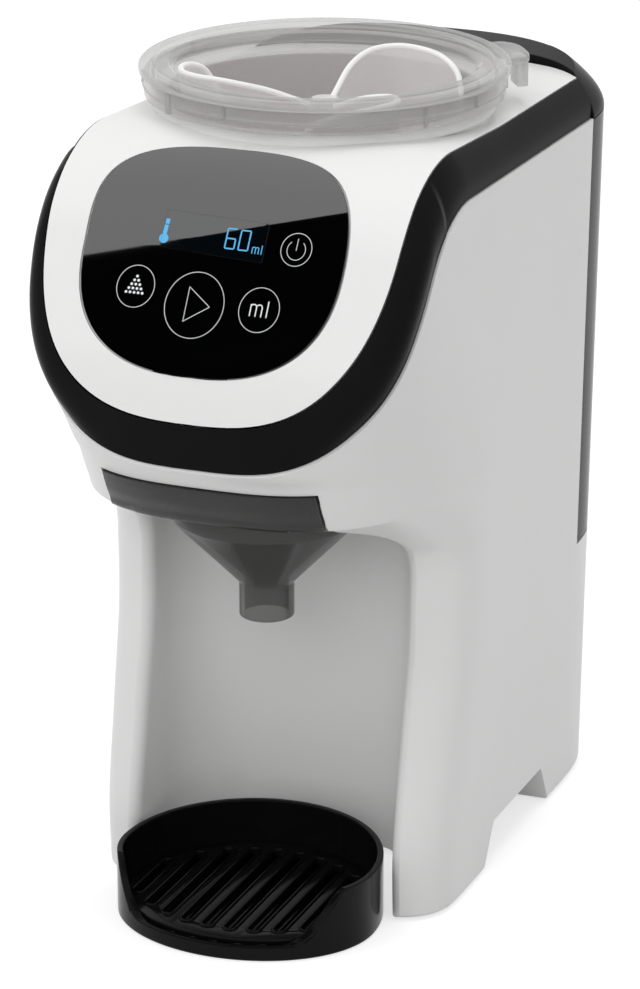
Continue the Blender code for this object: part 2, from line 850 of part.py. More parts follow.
def lower_edge():
    """Half of the band's lower edge, from the middle of the front to the tank."""
    front = None
    steps = 400
    low_y = -front_reach - overrun
    points = []
    for i in range(steps + 1):
        y = mix(low_y, band_straight_y, i / steps)
        height = head_cut(y)
        x = skin_x(y, height) if height > foot_height else 0.0
        if x > 0.0:
            if front is None:
                front = (0.0, y, height)
                points.append(Vector(front))
            points.append(Vector((x, y, height)))
    return points


def face_x(run):
    """Half width of the face at a run along it from its lower end."""
    return face_half * power_curve((face_length - min(run, face_length)) / face_length, face_power)


def face_path():
    """Points down the middle of the face with their runs."""
    steps = 500
    points, run = [], 0.0
    last = None
    for i in range(steps + 1):
        y = mix(face_foot_y, band_straight_y, (i / steps) ** 1.5)
        height = face_line(y)
        soft = (face_line(face_foot_y) - face_foot_height) * max(0.0, 1.0 - (y - face_foot_y) / (face_radius / 6)) ** 2
        point = Vector((0.0, y, height - soft))
        if last is not None:
            run += (point - last).length
        points.append((run, point))
        last = point
    return points


face_points = face_path()
face_end = face_points[-1][0]


def face_at(run):
    """A point in the middle of the face at a run, and beyond it along the top."""
    if run >= face_end:
        y = band_straight_y + (run - face_end)
        return Vector((0.0, y, face_line(y)))
    low, high = 0, len(face_points) - 1
    while high - low > 1:
        middle = (low + high) // 2
        if face_points[middle][0] <= run:
            low = middle
        else:
            high = middle
    first, second = face_points[low], face_points[high]
    return first[1].lerp(second[1], (run - first[0]) / (second[0] - first[0]))


def face_normal(run):
    """Outward direction of the face at a run."""
    step = wall / 2
    along = (face_at(run + step) - face_at(max(run - step, 0.0))).normalized()
    return Vector((0.0, -along.z, along.y))


def crown(x, run):
    """How far the surface falls towards the sides on the flat top."""
    share = min(max((run - face_length) / face_length, 0.0), 1.0)
    return face_crown * share * min(abs(x) / face_half, 1.2) ** 2.0


def even(points, count):
    """Points at even steps on a polyline."""
    lengths = [0.0]
    for first, second in zip(points, points[1:]):
        lengths.append(lengths[-1] + (second - first).length)
    result, j = [], 0
    for i in range(count):
        target = lengths[-1] * i / (count - 1)
        while j < len(lengths) - 2 and lengths[j + 1] < target:
            j += 1
        result.append(points[j].lerp(points[j + 1], (target - lengths[j]) / (lengths[j + 1] - lengths[j])))
    return result


def upper_edge():
    """Half of the face's outline from the middle of its lower end to the top's side."""
    points = []
    steps = 300
    for i in range(steps + 1):
        run = face_end * (i / steps) ** 2.2
        x = face_x(run)
        place = face_at(run) - face_normal(run) * crown(x, run)
        points.append((run, Vector((x, place.y, place.z))))
    return points


upper = upper_edge()
band_stations = 26
low_points = even(lower_edge(), band_stations)
high_points = even([p for run, p in upper], band_stations)
side_stations = 6
for k in range(1, side_stations + 1):
    y = mix(band_straight_y, band_end_y, k / side_stations)
    height = head_cut(y)
    low_points.append(Vector((half_at(height), y, height)))
    run = face_end + (y - band_straight_y)
    place = face_at(run) - face_normal(run) * crown(face_half, run)
    high_points.append(Vector((face_half, y, place.z)))


def band_section(low, high):
    """The four corners of the band at one station of the right half."""
    out = Vector((0.0, 0.0, 1.0)) if low.x > half_at(low.z) * 0.999 else None
    chamfer = (high - low).normalized()
    rise = (head_cut(low.y + gap) - head_cut(low.y - gap)) / (2 * gap)
    lift = Vector((0.0, -rise, 1.0)).normalized()
    side = Vector((low.x, low.y - container_y, 0.0))
    side = side.normalized() if side.length > 0 else Vector((0.0, -1.0, 0.0))
    inward = -(side - lift * side.dot(lift)).normalized()
    if out is not None:
        inward = Vector((-1.0, 0.0, 0.0))
    first = low + lift * gap
    second = high + (low - high).normalized() * 0.0
    depth = inward * band_wall
    third = second - lift * band_depth
    fourth = first + depth
    if (third - fourth).dot(chamfer) < gap:
        third = fourth + chamfer * band_wall
    return [first, second, third, fourth]


rings = [band_section(a, b) for a, b in zip(low_points, high_points)]
mirrored = [[Vector((-p.x, p.y, p.z)) for p in ring] for ring in rings[::-1]]
band = loft("trim_band", mirrored[:-1] + rings)
keep(smooth(band), "trim_band", "black_trim")

# Top cover: the white face and top in one piece, with a hole for the container
cover_gap = gap * 1.5


def cover_grid(name, margin, offset, runs, half_of, columns):
    """A patch of the face's surface as an open grid."""
    data = bmesh.new()
    rows = []
    for run in runs:
        half = max(half_of(run) - margin, wall)
        row = []
        for i in range(columns + 1):
            x = half * math.sin(math.pi / 2 * (2 * i / columns - 1))
            place = face_at(run) + face_normal(run) * (offset - crown(x, run))
            row.append(data.verts.new(Vector((x, place.y, place.z))))
        rows.append(row)
    for first, second in zip(rows, rows[1:]):
        for i in range(columns):
            data.faces.new((first[i], first[i + 1], second[i + 1], second[i]))
    return object_from_bmesh(data, name)


def up_side(item):
    """Turn the patch so that its faces look out of the machine."""
    data = bmesh.new()
    data.from_mesh(item.data)
    total = sum((f.normal * f.calc_area() for f in data.faces), Vector())
    if total.z < 0:
        bmesh.ops.reverse_faces(data, faces=data.faces[:])
    data.to_mesh(item.data)
    data.free()
    return item


cover_end = face_end + (tank_front_y + tank_front_rise - band_straight_y) + wall
cover_share_rows = (0.012, 0.035, 0.08, 0.15, 0.23, 0.33, 0.44, 0.55, 0.66, 0.77, 0.88, 1.0)
cover_rows = [cover_gap + (face_end - cover_gap) * s for s in cover_share_rows]
cover_rows += [mix(face_end, cover_end, k / 4) for k in range(1, 5)]
cover = cover_grid("top_cover", cover_gap, 0.0, cover_rows, face_x, 12)
up_side(cover)
thick = cover.modifiers.new("thickness", "SOLIDIFY")
thick.thickness = face_thick
thick.offset = -1.0
keep(smooth(cover), "top_cover", "white_shell")
cut(cover, tank_zone(-gap, top_height - overrun, top_height + overrun), "lid_front")
cut(cover, rod("cover_hole", seat_radius + gap, top_height - overrun, top_height + overrun, (0.0, container_y), 40),
    "cover_hole")


def glass_half_at(run):
    """Half width of the touch panel at a run along the face."""
    if run < glass_mid:
        return glass_half * power_curve((glass_mid - run) / (glass_mid - glass_low), glass_low_power)
    return glass_half * power_curve((run - glass_mid) / (glass_high - glass_mid), glass_high_power)


def glass_patch(name, grow, offset, thickness):
    """The panel's patch, or the same patch a little larger all round."""
    count = 12
    middle, reach = (glass_low + glass_high) / 2, (glass_high - glass_low) / 2
    runs = [middle - (reach + grow) * math.cos(math.pi * i / count) for i in range(count + 1)]

    def half_of(run):
        inner = middle + (run - middle) * reach / (reach + grow)
        return max(glass_half_at(min(max(inner, glass_low), glass_high)), wall) * (1.0 + grow / glass_half) + grow

    item = up_side(cover_grid(name, 0.0, offset, runs, half_of, 10))
    solid = item.modifiers.new("thickness", "SOLIDIFY")
    solid.thickness = thickness
    solid.offset = -1.0
    return item


glass = glass_patch("touch_panel", 0.0, glass_proud, glass_thick)
keep(smooth(glass), "touch_panel", "panel_glass")
cut(cover, glass_patch("panel_pocket", glass_seat, glass_proud + wall, glass_thick + wall + gap), "panel_pocket")

# Display board on posts behind the face
board_run = (glass_low + glass_high) / 2
board_out = face_normal(board_run)
board_up = Vector((0.0, board_out.z, -board_out.y))
board_mid = face_at(board_run) - board_out * (face_thick + board_stand)


def tilted_box(name, middle, half_x, half_up, thickness):
    """A block with its top face square to the board's direction."""
    item = box(name, (-half_x, -half_up, -thickness), (half_x, half_up, 0.0))
    turn = Matrix((Vector((1.0, 0.0, 0.0)), board_up, board_out)).transposed().to_4x4()
    item.data.transform(Matrix.Translation(middle) @ turn)
    return item


board = tilted_box("display_board", board_mid, board_half, board_length / 2, board_thick)
keep(board, "display_board", "board_green")
display = tilted_box("display_unit", board_mid + board_out * (gap + display_thick), display_half,
                     display_length / 2, display_thick)
keep(display, "display_unit", "black_plastic")
for sx in (-1, 1):
    for su in (-1, 1):
        shift = su * (board_length / 2 - 2 * board_post)
        near = min((face_at(board_run + shift + k * board_post) - face_normal(board_run + shift + k * board_post)
                    * (face_thick + board_post_gap) - board_mid).dot(board_out) for k in (-1, 0, 1))
        post = tilted_box("board_post", board_mid + board_up * shift + board_out * near
                          + Vector((sx * (board_half - 2 * board_post), 0.0, 0.0)), board_post, board_post,
                          near + board_thick / 2)
        join(board, post, f"board_post_{sx}_{su}".replace("-", "m"))

# Container seat: a cup under the cover's hole, with a shaft hole and a powder hole
seat_top = face_line(container_y) + gap
profile = [(seat_radius - seat_wall, seat_top), (seat_radius, seat_top), (seat_radius, seat_floor),
           (shaft_radius + 2 * shaft_clearance + gap, seat_floor), (shaft_radius + 2 * shaft_clearance + gap,
           seat_floor + seat_floor_thick), (seat_radius - seat_wall, seat_floor + seat_floor_thick)]
seat = turned("container_seat", profile, (0.0, container_y), 40)
keep(seat, "container_seat", "white_shell")
cut(seat, rod("seat_powder_hole", chute_bore, seat_floor - overrun, seat_floor + overrun / 2, (0.0, chute_y)),
    "seat_powder_hole")

# Gear plate under the seat, on four posts, with the motor hanging from it
plate_outline = [(-gear_plate_half, container_y - gear_plate_front), (gear_plate_half, container_y - gear_plate_front),
                 (gear_plate_half, motor_y + motor_radius), (-gear_plate_half, motor_y + motor_radius)]
plate = prism("gear_plate", plate_outline, plate_bottom, plate_top)
keep(plate, "gear_plate", "nylon")
plate_y_low = container_y - gear_plate_front + plate_post_inset
plate_y_high = motor_y + motor_radius - plate_post_inset
for sx in (-1, 1):
    for number, y in enumerate((plate_y_low, plate_y_high)):
        post = rod("plate_post", plate_post_radius, plate_top - gap, seat_floor - gap,
                   (sx * (gear_plate_half - plate_post_inset / 2), y), 14)
        join(plate, post, f"plate_post_{'left' if sx < 0 else 'right'}_{number}")
cut(plate, rod("plate_shaft_hole", shaft_radius + 2 * gap, plate_bottom - gap, plate_top + gap, (0.0, container_y)),
    "plate_shaft_hole")
cut(plate, rod("plate_motor_hole", motor_boss_radius + gap, plate_bottom - gap, plate_top + gap, (0.0, motor_y)),
    "plate_motor_hole")

inner = motor_top - motor_length / 3
motor = turned("gear_motor", [(0.0, motor_top)] + [(motor_radius, motor_top), (motor_radius, motor_top
               - motor_length), (0.0, motor_top - motor_length)], (0.0, motor_y), 28, False)
keep(motor, "gear_motor", "steel")
join(motor, rod("motor_boss", motor_boss_radius, motor_top - gap, motor_top + motor_boss_height, (0.0, motor_y), 20),
     "motor_boss")
cut(motor, rod("motor_bore", motor_shaft_radius + motor_shaft_clearance, inner, motor_top + overrun,
               (0.0, motor_y), 16), "motor_bore")


def gear_outline(teeth, middle_y, turn):
    """Straight-sided teeth on a pitch circle."""
    radius = gear_module * teeth / 2
    points = []
    for i in range(teeth):
        angle = 2 * math.pi * i / teeth + turn
        pitch = 2 * math.pi / teeth
        for share, reach in ((-tooth_share * 0.62, -tooth_root), (-tooth_tip_share / 2, tooth_rise),
                             (tooth_tip_share / 2, tooth_rise), (tooth_share * 0.62, -tooth_root)):
            place = radius + reach
            points.append((place * math.cos(angle + share * pitch), middle_y + place * math.sin(angle + share * pitch)))
    return points


drive_gear = prism("drive_gear", gear_outline(gear_teeth, container_y, 0.0), gear_bottom, gear_top)
drive_pivot = pivot("drive_gear_axis", (0.0, container_y, gear_bottom))
keep(drive_gear, "drive_gear", "nylon", drive_pivot)
cut(drive_gear, rod("gear_bore", shaft_radius + shaft_clearance, gear_bottom - gap, gear_top + gap,
                    (0.0, container_y)), "gear_bore")
pinion = prism("motor_pinion", gear_outline(pinion_teeth, motor_y, math.pi / 2 + math.pi / pinion_teeth),
               gear_bottom + gap, gear_top)
pinion_pivot = pivot("motor_pinion_axis", (0.0, motor_y, gear_bottom))
keep(pinion, "motor_pinion", "nylon", pinion_pivot)
join(pinion, rod("pinion_shaft", motor_shaft_radius, inner + gap, gear_bottom + 2 * gap, (0.0, motor_y), 14),
     "pinion_shaft")

# Powder chute and water nozzle through the drawer slot's ceiling
chute_low = drawer_ceiling - chute_end
profile = [(chute_bore, seat_floor - gap), (chute_radius, seat_floor - gap), (chute_radius, chute_low),
           (chute_bore, chute_low)]
keep(turned("powder_chute", profile, (0.0, chute_y), 24), "powder_chute", "white_shell")
nozzle_top = drawer_ceiling + wall + gap + nozzle_collar_thick + nozzle_height
collar_low = drawer_ceiling + wall + gap
profile = [(nozzle_bore, nozzle_top), (nozzle_radius - wall / 2, nozzle_top), (nozzle_radius - wall / 2,
           collar_low + nozzle_collar_thick), (nozzle_collar, collar_low + nozzle_collar_thick),
           (nozzle_collar, collar_low), (nozzle_radius, collar_low), (nozzle_radius, drawer_ceiling - chute_end / 2),
           (nozzle_bore, drawer_ceiling - chute_end / 2)]
keep(turned("water_nozzle", profile, (0.0, nozzle_y), 16), "water_nozzle", "black_plastic")

# Powder container
lift = pivot("container_lift", (0.0, container_y, container_floor))
inner_radius = container_radius - container_wall
profile = [(flange_radius - flange_wall, flange_top), (flange_radius, flange_top), (flange_radius, flange_height),
           (container_radius, flange_height), (container_radius, container_floor),
           (shaft_radius + shaft_clearance, container_floor),
           (shaft_radius + shaft_clearance, container_floor + container_floor_thick),
           (inner_radius, container_floor + container_floor_thick), (inner_radius, flange_height + flange_shelf),
           (flange_radius - flange_wall, flange_height + flange_shelf)]
container = turned("powder_container", profile, (0.0, container_y), 40)
keep(container, "powder_container", "clear_plastic", lift)
cut(container, rod("container_powder_hole", chute_bore, container_floor - overrun, container_floor + overrun,
                   (0.0, chute_y)), "container_powder_hole")

# Metering wheel with its shaft, and the stirrer on it
wheel_low = container_floor + container_floor_thick + gap
wheel_high = wheel_low + wheel_thick
wheel_radius = inner_radius - wheel_clearance
wheel_axis = pivot("wheel_axis", (0.0, container_y, wheel_low))
shaft_low = seat_floor - shaft_depth
profile = [(0.0, wheel_high), (wheel_radius, wheel_high), (wheel_radius, wheel_low), (shaft_radius, wheel_low),
           (shaft_radius, shaft_low), (0.0, shaft_low)]
wheel = turned("powder_wheel", profile, (0.0, container_y), 36, False)
keep(wheel, "powder_wheel", "coral_plastic", wheel_axis)
for i in range(wheel_pockets):
    angle = 2 * math.pi * i / wheel_pockets + math.pi / 2
    place = (wheel_pocket_ring * math.cos(angle), container_y + wheel_pocket_ring * math.sin(angle))
    cut(wheel, rod("wheel_pocket", wheel_pocket_radius, wheel_low - gap, wheel_high + gap, place, 14),
        f"wheel_pocket_{i}")

stirrer_low = wheel_high + gap
stirrer_high = flange_top - lid_plug_depth - stirrer_top_gap
profile = [(0.0, stirrer_high), (stirrer_hub_radius * 0.45, stirrer_high), (stirrer_hub_radius * 0.8,
           stirrer_high - stirrer_hub_radius / 2), (stirrer_hub_radius, stirrer_low), (0.0, stirrer_low)]
stirrer = turned("stirrer", profile, (0.0, container_y), 20, False)
keep(stirrer, "stirrer", "frosted_plastic", wheel_axis)


def blade(turn):
    """A curved blade that sweeps from the hub to the wall and falls outwards."""
    count = 9
    sections = []
    for i in range(count + 1):
        t = i / count
        radius = mix(stirrer_hub_radius / 2, stirrer_reach, t)
        angle = turn + stirrer_sweep * t ** 1.3
        ahead = Vector((-math.sin(angle), math.cos(angle), 0.0))
        middle = Vector((radius * math.cos(angle), container_y + radius * math.sin(angle), 0.0))
        low = stirrer_low + gap
        high = low + stirrer_blade_height * mix(1.0, 0.35, t)
        half = stirrer_thick / 2
        sections.append([middle + ahead * half + Vector((0.0, 0.0, low)), middle - ahead * half + Vector((0.0, 0.0,
                        low)), middle - ahead * half + Vector((0.0, 0.0, high)), middle + ahead * half
                        + Vector((0.0, 0.0, high))])
    return loft("blade", sections)


for i in range(stirrer_blades):
    join(stirrer, blade(2 * math.pi * i / stirrer_blades + math.pi / 6), f"stirrer_blade_{i}")

# Container lid with a sunken window, a plug rim and the ear with its post
lid_low = flange_top + gap
lid_lift = pivot("container_lid_lift", (0.0, container_y, lid_low))
plug_radius = flange_radius - flange_wall - lid_plug_clearance
profile = [(0.0, lid_top - lid_window_drop), (lid_window_radius, lid_top - lid_window_drop),
           (lid_window_radius + lid_window_drop, lid_top), (lid_radius - lid_window_drop / 2, lid_top),
           (lid_radius, lid_top - lid_window_drop / 2), (lid_radius, lid_low), (plug_radius, lid_low),
           (plug_radius, lid_low - lid_plug_depth), (plug_radius - lid_plug_wall, lid_low - lid_plug_depth),
           (plug_radius - lid_plug_wall, lid_top - lid_window_drop - lid_plate),
           (0.0, lid_top - lid_window_drop - lid_plate)]
lid = turned("container_lid", profile, (0.0, container_y), 40, False)
keep(lid, "container_lid", "clear_plastic", lid_lift)
ear_low_radius = lid_radius - lid_window_drop
ear_points = []
ear_count = 8
for i in range(ear_count + 1):
    angle = mix(ear_start, ear_end, i / ear_count)
    soft = 1.0 - 0.06 * (2 * i / ear_count - 1) ** 4
    ear_points.append((ear_reach * soft * math.cos(angle), container_y + ear_reach * soft * math.sin(angle)))
for i in range(ear_count, -1, -1):
    angle = mix(ear_start, ear_end, i / ear_count)
    ear_points.append((ear_low_radius * math.cos(angle), container_y + ear_low_radius * math.sin(angle)))
join(lid, prism("lid_ear", ear_points, lid_low + gap, lid_top - gap), "lid_ear")
ear_mid = (ear_start + ear_end) / 2
post_radius = ear_reach - ear_post_depth / 2 - gap
post_low = lid_low - ear_post_height
post = box("lid_post", (-ear_post_depth / 2, -ear_post_width / 2, post_low),
           (ear_post_depth / 2, ear_post_width / 2, lid_low + 2 * gap))
post.data.transform(Matrix.Translation((post_radius * math.cos(ear_mid), container_y + post_radius
                    * math.sin(ear_mid), 0.0)) @ Matrix.Rotation(ear_mid, 4, "Z"))
join(lid, post, "lid_post")

# Funnel drawer: front plate, deck, bowl and two runners
slide = pivot("drawer_slide", (0.0, funnel_y, funnel_rim_height))
bowl_out = funnel_radius
profile = [(bowl_out - funnel_wall, funnel_rim_height), (bowl_out, funnel_rim_height), (bowl_out, funnel_cone_top),
           (spout_radius, funnel_cone_bottom), (spout_radius, spout_end), (spout_radius - funnel_wall, spout_end),
           (spout_radius - funnel_wall, funnel_cone_bottom + funnel_wall), (bowl_out - funnel_wall,
           funnel_cone_top + funnel_wall / 2)]
bowl = turned("funnel_drawer", profile, (0.0, funnel_y), 32)
keep(bowl, "funnel_drawer", "smoked_plastic", slide)


deck_outline = []
deck_half = drawer_half - deck_side
for i in range(13):
    x = mix(-deck_half, deck_half, i / 12)
    deck_outline.append((x, skin_y(x, deck_low) + drawer_thick / 2))
deck_outline += [(deck_half, funnel_y), (-deck_half, funnel_y)]
deck = prism("drawer_deck", deck_outline, deck_low, deck_low + deck_thick)
cut(deck, rod("bowl_mouth", bowl_out - funnel_wall / 2, deck_low - gap, funnel_rim_height + overrun,
              (0.0, funnel_y), 32), "bowl_mouth")
join(bowl, deck, "drawer_deck")
join(bowl, front_plate("drawer_front", drawer_half, drawer_bottom, drawer_top, -drawer_proud,
                       drawer_thick - drawer_proud), "drawer_front")

def power_ring(half, front, rear, power, middle, height, count=44):
    """A closed plan outline from two power curves."""
    ring = []
    for i in range(count):
        angle = 2 * math.pi * i / count
        c, s = math.cos(angle), math.sin(angle)
        reach = front if s < 0 else rear
        ring.append(Vector((half * math.copysign(abs(c) ** (2 / power), c),
                            middle + reach * math.copysign(abs(s) ** (2 / power), s), height)))
    return ring


# Drip tray with high sides that dip to a low front
tray_slide = pivot("tray_slide", (0.0, tray_mid_y, 0.0))
tray = loft("drip_tray", [power_ring(tray_half, tray_front, tray_rear, tray_power, tray_mid_y, z)
                          for z in (0.0, tray_height)])
keep(smooth(tray), "drip_tray", "black_plastic", tray_slide)
inside = loft("tray_inside", [power_ring(tray_half - tray_wall, tray_front - tray_wall, tray_rear - tray_wall,
                                         tray_power, tray_mid_y, z) for z in (tray_floor, tray_height + overrun)])
cut(tray, smooth(inside), "tray_inside")
dip = []
dip_count = 10
for i in range(dip_count + 1):
    t = i / dip_count
    ease = t * t * (3 - 2 * t)
    dip.append((tray_mid_y - mix(tray_dip_start, tray_dip_end, t), mix(tray_height + gap, tray_front_height, ease)))
dip.append((tray_mid_y - tray_front - overrun, tray_front_height))
dip.append((tray_mid_y - tray_front - overrun, tray_height + overrun))
dip.append((tray_mid_y - tray_dip_start, tray_height + overrun))
cut(tray, prism("tray_dip", dip, -tray_half - overrun, tray_half + overrun, "X"), "tray_dip")

join(tray, box("tray_tongue", (-tray_tongue_half, tray_mid_y + tray_rear - tray_wall, tray_floor / 2),
               (tray_tongue_half, bay_back_y - gap, tray_tongue_height)), "tray_tongue")

# Ribbed grate on four stands in the tray
grate_lift = pivot("grate_lift", (0.0, tray_mid_y, tray_floor))
grate_inset = tray_wall + grate_clearance
grate_low = tray_floor + gap + grate_stand
grate = loft("drip_grate", [power_ring(tray_half - grate_inset, tray_front - grate_inset, tray_rear - grate_inset,
                                       tray_power, tray_mid_y, z) for z in (grate_low, grate_low + grate_thick)])
keep(smooth(grate), "drip_grate", "black_plastic", grate_lift)
slot_pitch = 2 * (tray_half - grate_inset - grate_margin) / grate_slots
slot_cutters = bmesh.new()
for i in range(grate_slots + 1):
    x = (i - grate_slots / 2) * slot_pitch
    inner_half = tray_half - grate_inset
    share = power_curve(x / inner_half, tray_power)
    low_y = tray_mid_y - (tray_front - grate_inset) * share + grate_margin
    high_y = tray_mid_y + (tray_rear - grate_inset) * share - grate_margin
    verts = bmesh.ops.create_cube(slot_cutters, size=1.0)["verts"]
    for vert in verts:
        vert.co = Vector((x + vert.co.x * grate_slot_width, mix(low_y, high_y, vert.co.y + 0.5),
                          mix(grate_low - gap, grate_low + grate_thick + gap, vert.co.z + 0.5)))
cut(grate, object_from_bmesh(slot_cutters, "grate_slots"), "grate_slots")
for sx in (-1, 1):
    for sy in (-1, 1):
        reach = tray_front if sy < 0 else tray_rear
        place = (sx * slot_pitch * 3, tray_mid_y + sy * (reach / 2))
        join(grate, rod("grate_stand", slot_pitch / 2 - grate_slot_width / 2, tray_floor + gap, grate_low + gap,
                        place, 12), f"grate_stand_{sx}_{sy}".replace("-", "m"))

# Water tank: a smoked vessel behind the curved wall
tank_lift = pivot("tank_lift", (0.0, valve_y, tank_base))


def tank_ring(height, inset, count=30):
    """Plan of the tank: curved front and the body's rear round."""
    half = half_at(height) - inset
    front_half = half
    step = 0
    while step < 40:
        y = tank_arc(front_half, gap + inset)
        start = rear_y - rear_reach
        front_half = half * power_curve(max(y - start, 0.0) / (rear_reach - inset), rear_power)
        step += 1
    ring = []
    front_count = 10
    for i in range(front_count + 1):
        x = mix(-front_half, front_half, i / front_count)
        ring.append(Vector((x, tank_arc(x, gap + inset), height)))
    y_edge = tank_arc(front_half, gap + inset)
    start = rear_y - rear_reach
    first = math.asin(min(1.0, ((y_edge - start) / (rear_reach - inset)) ** (rear_power / 2)))
    for i in range(1, count):
        angle = mix(first, math.pi - first, i / count)
        c, s = math.cos(angle), math.sin(angle)
        ring.append(Vector((half * math.copysign(abs(c) ** (2 / rear_power), c),
                            start + (rear_reach - inset) * s ** (2 / rear_power), height)))
    return ring


tank_level_shares = (0.0, 0.03, 0.35, 0.7, 1.0)
tank_rings = [tank_ring(tank_base, tank_wall / 2)] + [tank_ring(mix(tank_base, tank_top, s), 0.0)
                                                       for s in tank_level_shares[1:]]
tank = loft("water_tank", tank_rings)
keep(smooth(tank), "water_tank", "smoked_plastic", tank_lift)
tank_inside = loft("tank_inside", [tank_ring(mix(tank_base + tank_floor, tank_top + wall, s), tank_wall)
                                   for s in (0.0, 0.5, 1.0)])
cut(tank, smooth(tank_inside), "tank_inside")
cut(tank, rod("tank_valve_hole", valve_hole, tank_base - gap, tank_base + tank_floor + gap, (0.0, valve_y), 20),
    "tank_valve_hole")

# Tank valve with its spring and cage
valve_axis = pivot("valve_axis", (0.0, valve_y, tank_base))
valve_low = tank_base + gap
disc_low = tank_base + tank_floor + gap
profile = [(0.0, disc_low + valve_stem_up), (valve_stem, disc_low + valve_stem_up), (valve_stem, disc_low
           + valve_disc_thick), (valve_disc, disc_low + valve_disc_thick), (valve_disc, disc_low),
           (valve_stem, disc_low), (valve_stem, valve_low), (0.0, valve_low)]
keep(turned("tank_valve", profile, (0.0, valve_y), 16, False), "tank_valve", "black_plastic", valve_axis)
cage_top = disc_low + cage_height
profile = [(valve_stem + gap * 2, cage_top + cage_wall), (cage_radius, cage_top + cage_wall), (cage_radius, disc_low),
           (cage_radius - cage_wall, disc_low), (cage_radius - cage_wall, cage_top), (valve_stem + gap * 2, cage_top)]
cage = turned("valve_cage", profile, (0.0, valve_y), 20)
keep(cage, "valve_cage", "frosted_plastic", tank_lift)
for turn in (0.0, math.pi / 2):
    window = box("cage_window", (-cage_radius - wall, -cage_window / 2, disc_low + cage_wall * 2),
                 (cage_radius + wall, cage_window / 2, cage_top - cage_wall))
    window.data.transform(Matrix.Translation((0.0, valve_y, 0.0)) @ Matrix.Rotation(turn, 4, "Z"))
    cut(cage, window, f"cage_window_{round(turn)}")
spring_low = disc_low + valve_disc_thick + gap + spring_wire
spring_high = cage_top - gap - spring_wire
spring_route = []
total = spring_turns * spring_points
for i in range(total + 1):
    angle = 2 * math.pi * i / spring_points
    spring_route.append((spring_radius * math.cos(angle), valve_y + spring_radius * math.sin(angle),
                         mix(spring_low, spring_high, i / total)))
keep(smooth(tube("valve_spring", spring_route, spring_wire, 1)), "valve_spring", "steel", tank_lift)

# Tank lid: chamfered like the trim band, with a skirt into the tank
lid_axis = pivot("tank_lid_axis", (0.0, rear_y + gap, lid_base))


def lid_ring(height, inset):
    ring = tank_ring(lid_base, inset)
    for point in ring:
        point.z = height
    return ring


lid_top_level = lid_base + lid_chamfer_rise
lid_outer = [lid_ring(lid_base, 0.0), lid_ring(lid_base + wall / 2, 0.0)]
top_ring = tank_ring(lid_base, 0.0)


def lid_inset(share):
    """The lid's rings: the rear draws in, the curved front stays upright."""
    outer = tank_ring(lid_base, 0.0)
    result = []
    middle = Vector((0.0, rear_y - rear_reach, 0.0))
    for point in outer:
        front = tank_arc(point.x, gap)
        depth = min(max((point.y - front) / (rear_reach / 3), 0.0), 1.0)
        side = Vector((point.x / half_width_top, (point.y - middle.y) / rear_reach, 0.0))
        pull = Vector((math.copysign(min(abs(side.x), 1.0) ** 6, side.x), max(side.y, 0.0) ** 3 * depth, 0.0))
        if pull.length > 0:
            pull = pull / max(pull.length, 1.0)
        moved = Vector((point.x - pull.x * lid_chamfer_in * share, point.y - pull.y * lid_chamfer_in * share, 0.0))
        if abs(point.y - front) < gap:
            moved.y = tank_arc(moved.x, gap)
        result.append(moved)
    return result


lid_rings = [lid_ring(lid_base, 0.0)]
for share, rise in ((0.0, 0.08), (1.0, 1.0)):
    ring = lid_inset(share)
    for point in ring:
        point.z = lid_base + lid_chamfer_rise * rise
    lid_rings.append(ring)
ring = lid_inset(2.2)
for point in ring:
    point.z = lid_base + lid_chamfer_rise + lid_dome
lid_rings.append(ring)
tank_lid = loft("tank_lid", lid_rings)
keep(smooth(tank_lid), "tank_lid", "black_trim", lid_axis)
skirt_inset = tank_wall + lid_skirt_clearance
skirt = loft("lid_skirt", [lid_ring(z, skirt_inset) for z in (lid_base - lid_skirt_depth, lid_base + wall / 2)])
join(tank_lid, smooth(skirt), "lid_skirt")
hollow_inset = skirt_inset + lid_skirt_wall
hollow = loft("lid_hollow", [lid_ring(lid_base - lid_skirt_depth - wall, hollow_inset), lid_ring(lid_base,
              hollow_inset), lid_ring(lid_base + lid_chamfer_rise - lid_shell, hollow_inset + lid_chamfer_in)])
cut(tank_lid, smooth(hollow), "lid_hollow")

# Tank socket in the shelf with its seal
socket_top = shelf_height - wall / 2 + socket_flange_thick / 2
flange_low = shelf_height - wall / 2 + gap
socket_low = shelf_height - socket_depth
profile = [(socket_bore, flange_low + wall / 2 - 2 * gap), (socket_flange, flange_low + wall / 2 - 2 * gap),
           (socket_flange, flange_low), (socket_radius, flange_low), (socket_radius, socket_low),
           (nipple_radius, socket_low), (nipple_radius, socket_low - nipple_length), (nipple_radius / 2,
           socket_low - nipple_length), (nipple_radius / 2, socket_low + wall), (socket_bore, socket_low + wall)]
keep(turned("tank_socket", profile, (0.0, valve_y), 24), "tank_socket", "black_plastic")
seal_high = shelf_height - 2 * gap
seal_out = socket_bore - gap
profile = [(seal_out - seal_wire * 2, seal_high), (seal_out, seal_high), (seal_out, seal_high - seal_wire * 2),
           (seal_out - seal_wire * 2, seal_high - seal_wire * 2)]
keep(turned("socket_seal", profile, (0.0, valve_y), 20), "socket_seal", "rubber")

# Pump on the arch's roof beside the hatch, and the heater on its bracket
pump_low = arch_floor + gap
pump = box("water_pump", (pump_x - pump_half, pump_y - pump_half, pump_low),
           (pump_x + pump_half, pump_y + pump_half, pump_low + pump_height))
keep(pump, "water_pump", "black_plastic")
join(pump, rod("pump_motor", pump_motor_radius, pump_low + pump_height - gap, pump_low + pump_height
               + pump_motor_length, (pump_x, pump_y), 26), "pump_motor")
pump_port_z = pump_low + pump_height / 2


